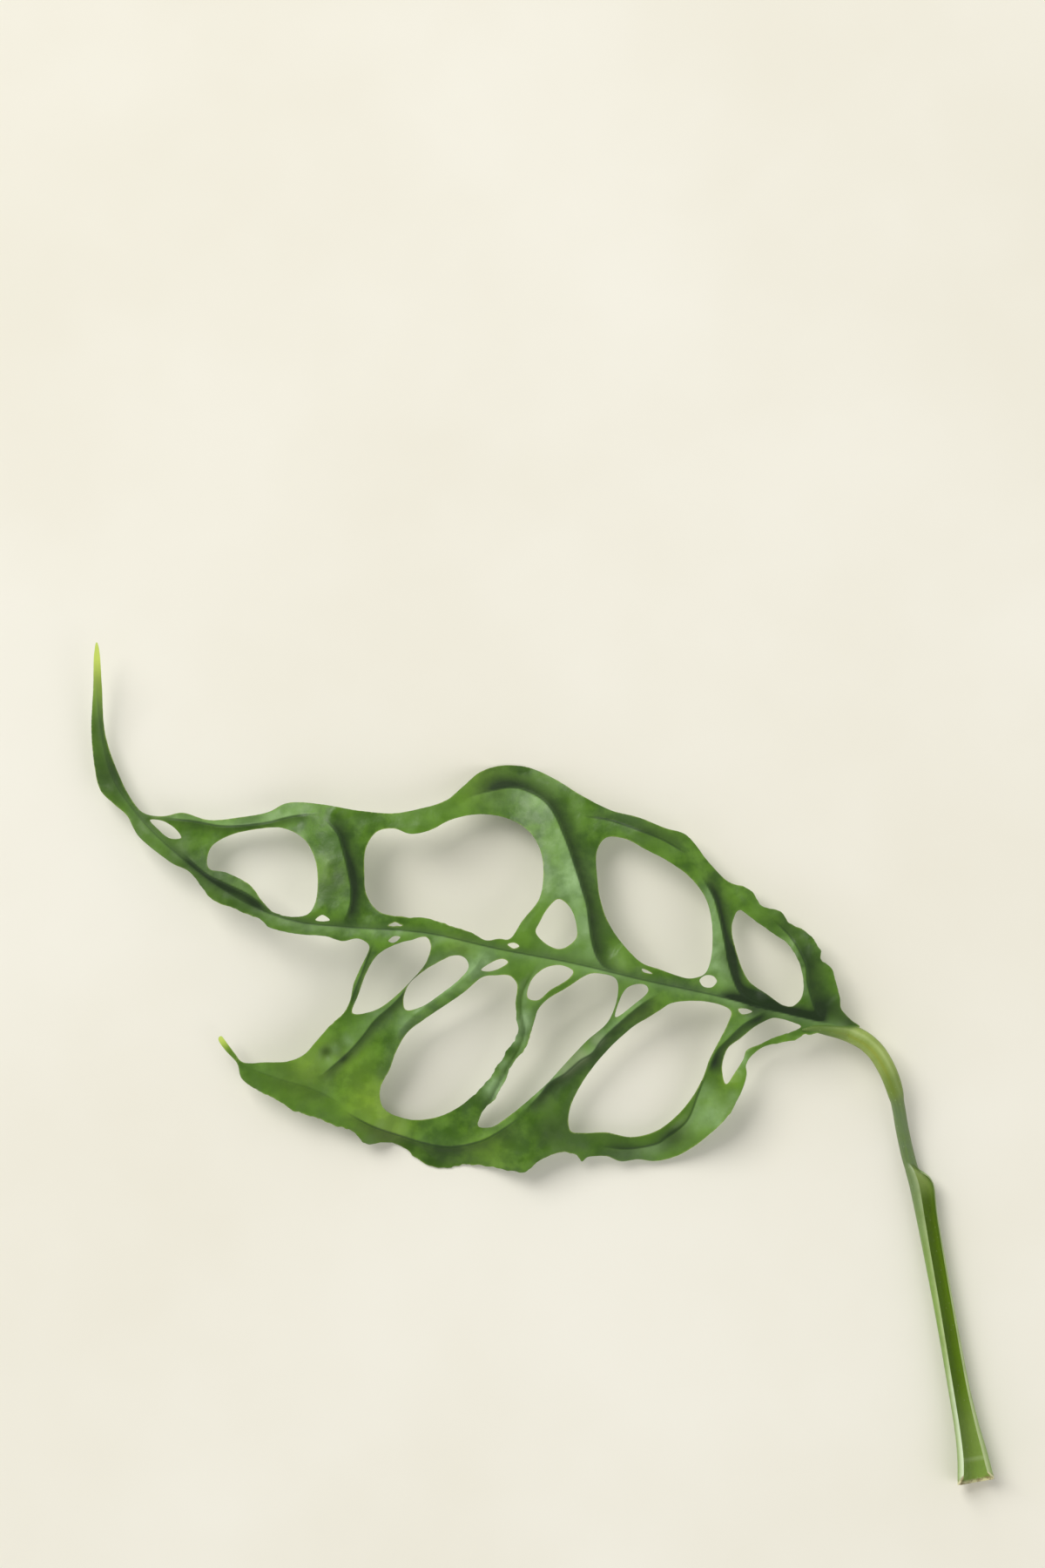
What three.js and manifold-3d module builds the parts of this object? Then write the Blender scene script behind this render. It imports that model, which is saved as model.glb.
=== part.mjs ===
// A fenestrated monstera leaf, picked with its whole stalk and laid down with its upper face up.
// Millimetres, +Z up. Plan points are written in the leaf's own frame, whose origin is where the
// blade joins its stalk, with the stalk running towards -Y and the blade's tip towards -X.
// The last lines move the whole leaf so that the part's origin is under the middle of its box.
import * as THREE from "three";
import { mergeVertices } from "three/addons/utils/BufferGeometryUtils.js";
import Module from "manifold-3d";

const wasm = await Module();
wasm.setup();

// ---- driving dimensions, mm ----
const bladeThickness = 0.6;
const gridPitch = 4.5; // spacing of the points that carry the blade's curved surface
const samplesPerSpan = 2; // straight pieces between two outline points
const nearReach = 52; // how far from the midrib the near half would come down to the table
const farReach = 46;
const dropPower = 1.6;
const ribRadiusAtBase = 1.5;
const ribRadiusAtTip = 0.35;
const ribSides = 8;
const ribStations = 44;
const jointGap = 0.3; // between the blade's cut base and the stalk's top face
const stalkSides = 24;
const stalkStations = 40;

// ---- the blade's plan ----
// Midrib, from the stalk to the drip tip.
const midribPlan = [
  [0.5, -1.2], [-10, 1.4], [-25, 5.2], [-40, 8.5], [-55, 12.1], [-70, 15], [-85, 18.3], [-100, 19.4],
  [-112, 20.7], [-123, 25], [-134, 32.6], [-143.5, 41.5], [-149.8, 51], [-152.2, 64], [-152.3, 76.5],
];

// Outer edge, from the base along the far margin to the tip, and back along the near margin.
const bladeEdge = [
  // basal lobe and far margin
  [0.9, 0.7], [0, 2.3], [-0.2, 5], [-1, 8.3], [-2, 11], [-3.8, 12.6], [-4.3, 15], [-7, 18.3], [-10.2, 20],
  [-12.4, 22.5], [-16, 23.6], [-18.6, 27], [-23, 28.6], [-27, 32.6], [-31.4, 38], [-36, 39.6],
  [-41.5, 41.8], [-47, 43.2], [-53, 46.2], [-58.5, 49.6], [-64, 52], [-69.5, 52.4], [-74, 51],
  [-77.5, 48], [-81, 45.2], [-86, 43.6], [-92, 42.6], [-99, 43.2], [-106, 44.4], [-113, 44.8],
  [-117.5, 42.8], [-123, 41.8], [-129.5, 41.2], [-134.8, 42.7], [-139, 42],
  // drip tip
  [-143.2, 42.8], [-146.2, 46.6], [-148.3, 51], [-150.2, 56], [-151.2, 61], [-151.4, 68], [-151.7, 75],
  [-152.3, 77.6], [-152.9, 75], [-153.2, 68], [-153.7, 60], [-153.2, 53], [-152, 47.6], [-149.2, 44.6],
  [-146.3, 42], [-144.2, 38.2], [-141, 35.3], [-137, 32.4], [-133.4, 30.6], [-131, 27.6],
  [-128.6, 25], [-124, 23], [-119, 21], [-116.5, 19.2], [-111, 18], [-105.5, 17.6], [-102, 16.6],
  [-98.6, 17.1], [-96.4, 15.4],
  // first strut's outer side, then the near margin's free lobe
  [-98, 11.6], [-99.6, 8], [-100.4, 4.4], [-101.8, 1.8], [-104.4, -0.6], [-107.4, -4], [-110, -6.8],
  [-113.5, -8.2], [-118, -8.4], [-122.4, -8.5], [-124.2, -6.2], [-125.6, -3.9], [-127, -3],
  [-127.4, -4.2], [-125.8, -6.2], [-123.8, -8.6], [-122.8, -11.8], [-120, -14], [-116, -15.9],
  [-112, -18.5], [-107.6, -19.8], [-104, -21.4], [-100.4, -22.5], [-97.2, -25.3], [-93, -25.1],
  [-89.5, -26.5], [-85.4, -29.6], [-81.4, -30.5], [-77, -29.8], [-73, -30], [-68, -30.8], [-64.8, -31],
  [-61.5, -28.5], [-57.5, -27], [-54.2, -27.6], [-53, -29], [-51.6, -28], [-48, -27.9], [-45, -29],
  [-41.4, -28.6], [-38, -29], [-34, -28.1], [-30.5, -26.2], [-26.6, -23], [-23, -19.3], [-20.4, -14.4],
  [-19.3, -11], [-19.4, -8.9], [-18.2, -6.9], [-15.6, -5.1], [-12, -4.3], [-9.2, -3.7], [-7.6, -2.6],
  [-6.4, -2.8], [-4, -2.4], [0, -3.2],
];

// Perforations, each one named after what it lies between.
const perforations = {
  // far half
  tipGap: [[-141.6, 41.2], [-139, 41], [-136.6, 39.6], [-135.2, 37.6], [-137.6, 37.5], [-139.8, 39.2]],
  farFirst: [
    [-129.4, 31.4], [-125.5, 30.4], [-121, 28], [-118.2, 24.4], [-115.6, 22.2], [-112, 21.5],
    [-108.8, 22.2], [-107.3, 25], [-107, 29.5], [-107.7, 33.6], [-110, 37.4], [-114.5, 39.6],
    [-120, 39.3], [-125.4, 38], [-129.2, 35.4],
  ],
  farPore: [[-107.4, 20.9], [-106, 21.9], [-104.5, 20.9], [-106, 20.6]],
  farSecond: [
    [-97, 26], [-97.5, 31], [-97.2, 35.5], [-95, 38.8], [-91.6, 39.5], [-88, 38.4], [-84, 39.2],
    [-79.5, 41.4], [-74, 42.4], [-68.5, 41.6], [-64, 39], [-61.4, 34.6], [-61, 29], [-62, 24.8],
    [-65.2, 20.8], [-67.6, 17.2], [-70, 17.1], [-72.8, 16.8], [-75.6, 18.3], [-80, 19.8],
    [-85, 21.3], [-90, 21.6], [-94.4, 22.6],
  ],
  farPear: [
    [-58, 25.1], [-60.1, 23.2], [-61.6, 20.6], [-62.5, 18.4], [-60.6, 16.2], [-58, 15], [-55.8, 15.7],
    [-54.1, 17.7], [-54.6, 21.5], [-56, 24],
  ],
  farThird: [
    [-41, 12.2], [-37.5, 10.9], [-34, 9.6], [-31, 8.9], [-28, 9.8], [-26.7, 12.8], [-26.3, 17],
    [-26.6, 21.4], [-27.9, 25.6], [-31, 29.6], [-35.4, 32.8], [-40, 35.2], [-44, 37.3], [-48, 37.6],
    [-50, 34.6], [-49.9, 29.4], [-49.2, 24.6], [-47.5, 20], [-44.8, 16],
  ],
  farRound: [[-29, 8.5], [-27.8, 9.5], [-26.2, 9.3], [-25.5, 8.2], [-26.6, 7], [-28.2, 7.2]],
  farBasal: [
    [-20.6, 22.7], [-21.9, 21], [-22.3, 18.4], [-21.6, 15], [-20.3, 11], [-18.6, 8], [-15, 5.5],
    [-12, 3.4], [-9.8, 3.2], [-8, 5.2], [-7.7, 8.6], [-8.7, 12.4], [-11, 16], [-14.6, 18.5],
    [-17.8, 20.8],
  ],
  // near half
  nearFirst: [
    [-99.9, 1.8], [-98.7, 5.6], [-97, 10.2], [-94.8, 13.7], [-91.4, 15.8], [-88, 16.8], [-85, 17.4],
    [-83.9, 15.6], [-85, 12], [-88, 8.4], [-91.6, 4.9], [-95.4, 2.4],
  ],
  nearPore: [[-92.5, 16.7], [-91.3, 17.6], [-90.1, 17.4], [-91.4, 16.3]],
  nearSecond: [
    [-88.9, 2.4], [-89.5, 4.6], [-88.4, 7.7], [-85.6, 10.3], [-82.2, 12.4], [-79, 13.7], [-76.8, 13],
    [-76.3, 10.9], [-78.7, 8.2], [-82.2, 5.5], [-85.6, 3.2],
  ],
  nearGreat: [
    [-73.6, 9.1], [-70.6, 9.6], [-67.8, 9.5], [-66.3, 7.6], [-66.6, 4], [-66.4, 1], [-66.3, -2.4],
    [-68.2, -5.7], [-70.3, -8.9], [-72.2, -12], [-75.2, -15.2], [-78.8, -18], [-83, -19.9],
    [-87.6, -20.5], [-91.4, -19.5], [-94, -17.4], [-94.3, -13.6], [-92.4, -9.8], [-91, -6],
    [-88.8, -2.3], [-85.4, 0.4], [-81, 3.4], [-77, 6.2],
  ],
  nearSlit: [[-73.6, 10.8], [-71.6, 12.2], [-69.4, 13], [-68.2, 12.2], [-70.2, 10.9], [-72.2, 10.4]],
  nearLoop: [
    [-64.2, 5.2], [-63.4, 8.6], [-60.8, 11], [-57.6, 11.7], [-54.9, 10.5], [-56.2, 8.6], [-59.4, 6.7],
    [-62, 4.6],
  ],
  nearLong: [
    [-52, 9.7], [-49, 9.9], [-46.2, 8.9], [-45.7, 6.2], [-46.6, 2.4], [-48.2, -0.5], [-52, -3.8],
    [-56, -8], [-60, -12.4], [-64, -16.1], [-68, -19.5], [-71.4, -21.7], [-74.3, -21.6],
    [-73.2, -18.4], [-70.6, -15.4], [-69, -12.2], [-67.4, -8.9], [-65, -6], [-63.4, -2],
    [-62.2, 2.2], [-60, 4.8], [-56, 7.2],
  ],
  nearBridge: [[-45, 5.4], [-43.2, 7.4], [-40.4, 7.7], [-39.6, 6.2], [-42.2, 3.8], [-46.2, 1]],
  nearWide: [
    [-37.4, 2.2], [-34.6, 3.9], [-30, 4.3], [-25.6, 3.7], [-22.6, 2.2], [-23.2, -0.4], [-25, -4],
    [-26.9, -7.8], [-28.4, -12], [-30.6, -16], [-33.8, -19.8], [-38, -22.8], [-43, -23.9],
    [-48, -22.9], [-52.4, -23], [-55.4, -22.4], [-55.6, -18.4], [-53.8, -14], [-50.8, -9.4],
    [-47, -5], [-42.8, -1.2], [-39.6, 0.8],
  ],
  nearChink: [[-21, 2.6], [-19.3, 2.6], [-18.2, 2], [-20.2, 1.5]],
  nearBasal: [
    [-14, 0.7], [-11, 0.2], [-8.2, -1], [-9.8, -1.9], [-13.2, -3.1], [-16.4, -4.6], [-19.2, -5.8],
    [-20.1, -8], [-22, -11], [-23.6, -12.8], [-24.3, -9.4], [-23.2, -5.6], [-20.4, -3.3], [-17.4, -0.9],
  ],
};

// ---- how high the blade lies over the table ----
// Height of the midrib against the share of its length, from the stalk.
const midribHeights = new THREE.SplineCurve(
  [[0, 7.2], [0.18, 10.5], [0.36, 13.6], [0.52, 13.4], [0.68, 9.6], [0.8, 5.8], [0.9, 5], [1, 9]].map(
    ([share, height]) => new THREE.Vector2(share, height),
  ),
);
// Waves along a margin: [height, wave length, phase], for the half on each side of the midrib.
const marginWaves = {
  far: [[2.6, 58, 2.4], [0.9, 21, 0.4]],
  near: [[2.4, 47, 0.2], [0.9, 19, 1.7]],
};

const planCurve = (points, closed) =>
  new THREE.CatmullRomCurve3(points.map(([x, y]) => new THREE.Vector3(x, y, 0)), closed, "catmullrom", 0.5);
const midribCurve = planCurve(midribPlan, false);
const midribSamples = midribCurve.getSpacedPoints(160);
const midribLength = midribCurve.getLength();

// Height of a SplineCurve whose x values rise, read at one x.
function readProfile(curve, x) {
  const points = curve.points;
  const spans = points.length - 1;
  let i = 0;
  while (i < spans - 1 && x > points[i + 1].x) i += 1;
  const share = THREE.MathUtils.clamp((x - points[i].x) / (points[i + 1].x - points[i].x), 0, 1);
  return curve.getPoint((i + share) / spans).y;
}

// Share of the midrib's length nearest to a plan point, the distance from it and the side of it.
function alongMidrib(x, y) {
  let found = { away: Infinity };
  const spans = midribSamples.length - 1;
  for (let i = 0; i < spans; i += 1) {
    const [from, to] = [midribSamples[i], midribSamples[i + 1]];
    const run = [to.x - from.x, to.y - from.y];
    const reach = [x - from.x, y - from.y];
    const along = (run[0] * reach[0] + run[1] * reach[1]) / (run[0] ** 2 + run[1] ** 2);
    const inside = THREE.MathUtils.clamp(along, 0, 1);
    const away = Math.hypot(reach[0] - inside * run[0], reach[1] - inside * run[1]);
    const far = run[0] * reach[1] - run[1] * reach[0] < 0;
    if (away < found.away) found = { share: (i + inside) / spans, away, far };
  }
  return found;
}

// Height of the blade's upper face over the table.
function bladeHeight(x, y) {
  const { share, away, far } = alongMidrib(x, y);
  const reach = far ? farReach : nearReach;
  const out = away / reach;
  let height = readProfile(midribHeights, share) * (1 - out ** dropPower);
  for (const [tall, long, phase] of marginWaves[far ? "far" : "near"])
    height += tall * out * Math.sin((2 * Math.PI * share * midribLength) / long + phase);
  return height;
}

// ---- solids ----
function solidOf(geometry) {
  const plain = geometry.clone();
  plain.deleteAttribute("normal");
  plain.deleteAttribute("uv");
  const merged = mergeVertices(plain, 1e-4);
  return new wasm.Manifold(
    new wasm.Mesh({
      numProp: 3,
      vertProperties: merged.attributes.position.array,
      triVerts: new Uint32Array(merged.index.array),
    }),
  );
}

function geometryOf(solid) {
  const mesh = solid.getMesh();
  const geometry = new THREE.BufferGeometry();
  geometry.setAttribute("position", new THREE.BufferAttribute(mesh.vertProperties, 3));
  geometry.setIndex(new THREE.BufferAttribute(mesh.triVerts, 1));
  geometry.computeVertexNormals();
  return geometry;
}

// A closed tube through rings of equal point counts. sections holds each ring's own flat outline.
function tubeThroughRings(rings, sections) {
  const count = rings[0].length;
  const index = [];
  for (let r = 0; r < rings.length - 1; r += 1)
    for (let k = 0; k < count; k += 1) {
      const [a, b] = [r * count + k, r * count + ((k + 1) % count)];
      index.push(a, a + count, b, b, a + count, b + count);
    }
  const lastRing = (rings.length - 1) * count;
  for (const [a, b, c] of THREE.ShapeUtils.triangulateShape(sections[0], [])) index.push(a, b, c);
  for (const [a, b, c] of THREE.ShapeUtils.triangulateShape(sections.at(-1), []))
    index.push(lastRing + a, lastRing + c, lastRing + b);
  return new THREE.BufferGeometry().setFromPoints(rings.flat()).setIndex(index);
}

// Rings of a section that changes along a path, with "up" kept as near to +Z as the path lets it be.
function sweep(path, stations, sectionAt) {
  const rings = [];
  const sections = [];
  for (let i = 0; i <= stations; i += 1) {
    const share = i / stations;
    const centre = path.getPointAt(share);
    const ahead = path.getTangentAt(share);
    const side = new THREE.Vector3().crossVectors(ahead, new THREE.Vector3(0, 0, 1)).normalize();
    const up = new THREE.Vector3().crossVectors(side, ahead);
    const section = sectionAt(share);
    sections.push(section);
    rings.push(section.map((p) => centre.clone().addScaledVector(side, p.x).addScaledVector(up, p.y)));
  }
  return tubeThroughRings(rings, sections);
}

const material = (color, roughness) => new THREE.MeshStandardMaterial({ color, roughness, metalness: 0 });

// ---- blade: a curved plate, cut to the plan, with the midrib standing out below it ----
function bladeSolid() {
  const box = new THREE.Box2().setFromPoints(bladeEdge.map(([x, y]) => new THREE.Vector2(x, y)));
  box.expandByScalar(gridPitch);
  const size = box.getSize(new THREE.Vector2());
  const middle = box.getCenter(new THREE.Vector2());
  const plate = new THREE.BoxGeometry(
    size.x, size.y, 1, Math.round(size.x / gridPitch), Math.round(size.y / gridPitch), 1,
  );
  const place = plate.attributes.position;
  for (let i = 0; i < place.count; i += 1) {
    const [x, y] = [place.getX(i) + middle.x, place.getY(i) + middle.y];
    const top = place.getZ(i) > 0;
    place.setXYZ(i, x, y, bladeHeight(x, y) - (top ? 0 : bladeThickness));
  }

  const outlineOf = (points) => planCurve(points, true).getPoints(points.length * samplesPerSpan);
  const plan = new THREE.Shape(outlineOf(bladeEdge).map((p) => new THREE.Vector2(p.x, p.y)));
  for (const points of Object.values(perforations))
    plan.holes.push(new THREE.Path(outlineOf(points).map((p) => new THREE.Vector2(p.x, p.y))));
  const cutterHeight = 80;
  const cutter = new THREE.ExtrudeGeometry(plan, { depth: cutterHeight, bevelEnabled: false });
  cutter.translate(0, 0, -cutterHeight / 2);

  const ribPath = new THREE.CatmullRomCurve3(
    midribSamples
      .filter((_, i) => i % 4 === 0 && i <= 144)
      .map((p, i, all) => {
        const radius = THREE.MathUtils.lerp(ribRadiusAtBase, ribRadiusAtTip, i / (all.length - 1));
        return new THREE.Vector3(p.x, p.y, bladeHeight(p.x, p.y) - bladeThickness - 0.45 * radius);
      }),
  );
  const ribSection = (share) => {
    const radius = THREE.MathUtils.lerp(ribRadiusAtBase, ribRadiusAtTip, share);
    return Array.from({ length: ribSides }, (_, k) => {
      const angle = (2 * Math.PI * k) / ribSides;
      return new THREE.Vector2(radius * Math.cos(angle), radius * Math.sin(angle));
    });
  };
  return solidOf(plate)
    .intersect(solidOf(cutter))
    .add(solidOf(sweep(ribPath, ribStations, ribSection)));
}

// ---- stalk: a round swollen neck, then a slim stem that widens into a clasping open sheath ----
const stalkPath = new THREE.CatmullRomCurve3(
  [
    [1.0 + jointGap, -1.35, 5.2], [2.6, -1.7, 5.55], [4.9, -3, 6], [7.8, -5.8, 6.1], [10, -9.6, 5.6], [11.5, -14.2, 4.6],
    [12.6, -19.5, 3.5], [13.9, -25.5, 2.7], [15.4, -33, 2.3], [17.4, -43, 2.3], [19.6, -54, 2.3],
    [21.9, -65, 2.3], [24, -75.5, 2.4], [26, -85, 2.6], [27.8, -95, 3],
  ].map((p) => new THREE.Vector3(...p)),
);
// Against the share of the stalk's length: half width, half height, how far the wings rise, channel depth.
const stalkSizes = [
  [0, 1.9, 1.7, 0, -0.6], [0.08, 2.4, 2.3, 0, -0.6], [0.16, 2.2, 2.2, 0, -0.5], [0.22, 1.5, 1.6, 0, -0.4],
  [0.3, 1.4, 1.45, 0, -0.3], [0.335, 1.5, 1.5, 0.1, 0.1], [0.37, 2.3, 1.75, 1.1, 1.1],
  [0.5, 2.1, 1.75, 0.9, 1.2], [0.7, 2.1, 1.8, 0.9, 1.3], [0.86, 2.4, 1.9, 1.1, 1.6],
  [0.95, 3.7, 2.2, 1.7, 2.3], [1, 4.4, 2.5, 2.2, 2.9],
];
const stalkProfile = (column) =>
  new THREE.SplineCurve(stalkSizes.map((row) => new THREE.Vector2(row[0], row[column])));
const [halfWidth, halfHeight, wingRise, channelDepth] = [1, 2, 3, 4].map(stalkProfile);

// The section runs from the right wing's edge under the stalk to the left one, and back over the channel.
function stalkSection(share) {
  const [a, b, rise, depth] = [halfWidth, halfHeight, wingRise, channelDepth].map((p) => readProfile(p, share));
  const edgeAngle = THREE.MathUtils.degToRad(48);
  const outerCount = Math.round(stalkSides * 0.58);
  const innerCount = stalkSides - outerCount;
  const tipHeight = b * Math.sin(edgeAngle) + rise;
  const section = [];
  for (let k = 0; k <= outerCount; k += 1) {
    const angle = THREE.MathUtils.lerp(edgeAngle, -Math.PI - edgeAngle, k / outerCount);
    const lift = rise * THREE.MathUtils.smoothstep(Math.sin(angle), -0.3, Math.sin(edgeAngle));
    section.push(new THREE.Vector2(a * Math.cos(angle), b * Math.sin(angle) + lift));
  }
  const inside = a * Math.cos(edgeAngle);
  for (let k = 1; k < innerCount; k += 1) {
    const across = k / innerCount;
    const dip = depth * Math.sin(Math.PI * across) ** 0.7;
    section.push(new THREE.Vector2(THREE.MathUtils.lerp(-inside, inside, across), tipHeight - dip));
  }
  return section.reverse();
}

const leafBlade = new THREE.Mesh(geometryOf(bladeSolid()), material(0x2f6a22, 0.42));
leafBlade.name = "leaf_blade";
const petiole = new THREE.Mesh(sweep(stalkPath, stalkStations, stalkSection), material(0x7c9a3e, 0.5));
petiole.name = "petiole";

const leaf = new THREE.Group();
leaf.add(leafBlade, petiole);
const leafBox = new THREE.Box3().setFromObject(leaf);
const middle = leafBox.getCenter(new THREE.Vector3());
leaf.position.set(-middle.x, -middle.y, -leafBox.min.z);
const part = new THREE.Group();
part.add(leaf);

export default part;
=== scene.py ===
import math

import bmesh
import bpy
import numpy as np
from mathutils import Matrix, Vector, kdtree, noise


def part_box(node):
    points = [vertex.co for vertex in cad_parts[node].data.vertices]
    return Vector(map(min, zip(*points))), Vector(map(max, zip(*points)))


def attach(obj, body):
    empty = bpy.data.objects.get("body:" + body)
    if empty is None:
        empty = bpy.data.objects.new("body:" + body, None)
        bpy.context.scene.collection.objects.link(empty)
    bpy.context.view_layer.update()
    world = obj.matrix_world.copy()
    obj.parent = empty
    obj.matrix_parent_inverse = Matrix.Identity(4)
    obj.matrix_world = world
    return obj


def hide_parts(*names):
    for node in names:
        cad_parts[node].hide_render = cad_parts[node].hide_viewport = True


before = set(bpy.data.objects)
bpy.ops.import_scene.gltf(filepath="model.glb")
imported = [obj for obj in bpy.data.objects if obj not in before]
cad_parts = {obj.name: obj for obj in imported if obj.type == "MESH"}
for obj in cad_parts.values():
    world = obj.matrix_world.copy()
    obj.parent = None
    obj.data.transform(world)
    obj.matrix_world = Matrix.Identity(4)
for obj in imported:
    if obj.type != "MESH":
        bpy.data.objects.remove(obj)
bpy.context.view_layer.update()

mm = 0.001  # plans and shapes below are in millimetres
print("frame loaded")

# Plan of the blade, measured from where it joins its stalk. The tip lies to the left, the far side up.
midribPlan = [
    (0.5, -1.2), (-10, 1.4), (-25, 5.2), (-40, 8.5), (-55, 12.1), (-70, 15), (-85, 18.3), (-100, 19.4),
    (-112, 20.7), (-123, 25), (-134, 32.6), (-143.5, 41.5), (-149.8, 51), (-152.2, 64), (-152.3, 76.5),
]
bladeEdge = [
    # basal lobe and far margin
    (2.5, 0), (1, 1.4), (0, 2.8), (-0.2, 5), (-1, 8.3), (-2, 11), (-3.8, 12.6), (-4.3, 15), (-7, 18.3),
    (-10.2, 20), (-12.4, 22.5), (-16, 23.6), (-18.6, 27), (-23, 28.6), (-27, 32.6), (-31.4, 38),
    (-36, 39.6), (-41.5, 41.8), (-47, 43.2), (-53, 46.2), (-58.5, 49.6), (-64, 52), (-69.5, 52.4),
    (-74, 51), (-77.5, 48), (-81, 45.2), (-86, 43.6), (-92, 42.6), (-99, 43.2), (-106, 44.4),
    (-113, 44.8), (-117.5, 42.8), (-123, 41.8), (-129.5, 41.2), (-134.8, 42.7), (-139, 42),
    # drip tip
    (-143.2, 42.8), (-146.2, 46.6), (-148.3, 51), (-150.2, 56), (-151.2, 61), (-151.4, 68),
    (-151.7, 75), (-152.3, 77.6), (-152.9, 75), (-153.2, 68), (-153.7, 60), (-153.2, 53),
    (-152, 47.6), (-149.2, 44.6), (-146.3, 42), (-144.2, 38.2), (-141, 35.3), (-137, 32.4),
    (-133.4, 30.6), (-131, 27.6), (-128.6, 25), (-124, 23), (-119, 21), (-116.5, 19.2), (-111, 18),
    (-105.5, 17.6), (-102, 16.6), (-98.6, 17.1), (-96.4, 15.4),
    # first strut's outer side, then the near margin's free lobe
    (-98, 11.6), (-99.6, 8), (-100.4, 4.4), (-101.8, 1.8), (-104.4, -0.6), (-107.4, -4), (-110, -6.8),
    (-113.5, -8.2), (-118, -8.4), (-122.4, -8.5), (-124.3, -6.5), (-125.9, -4.4), (-127, -3.1),
    (-127.6, -3.9), (-126.2, -6), (-123.8, -8.6), (-122.8, -11.8), (-120, -14), (-116, -15.9),
    (-112, -18.5), (-107.6, -19.8), (-104, -21.4), (-100.4, -22.5), (-97.2, -25.3), (-93, -25.1),
    (-89.5, -26.5), (-85.4, -29.6), (-81.4, -30.5), (-77, -29.8), (-73, -30), (-68, -30.8),
    (-64.8, -31), (-61.5, -28.5), (-57.5, -27), (-54.2, -27.6), (-53, -29), (-51.6, -28),
    (-48, -27.9), (-45, -29), (-41.4, -28.6), (-38, -29), (-34, -28.1), (-30.5, -26.2), (-26.6, -23),
    (-23, -19.3), (-20.4, -14.4), (-19.3, -11), (-19.4, -8.9), (-18.2, -6.9), (-15.6, -5.1),
    (-12, -4.3), (-9.2, -3.7), (-7.6, -2.6), (-6.4, -2.8), (-4, -2.3), (-1, -2.6), (2, -2.2), (4, -1.2),
]
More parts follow.
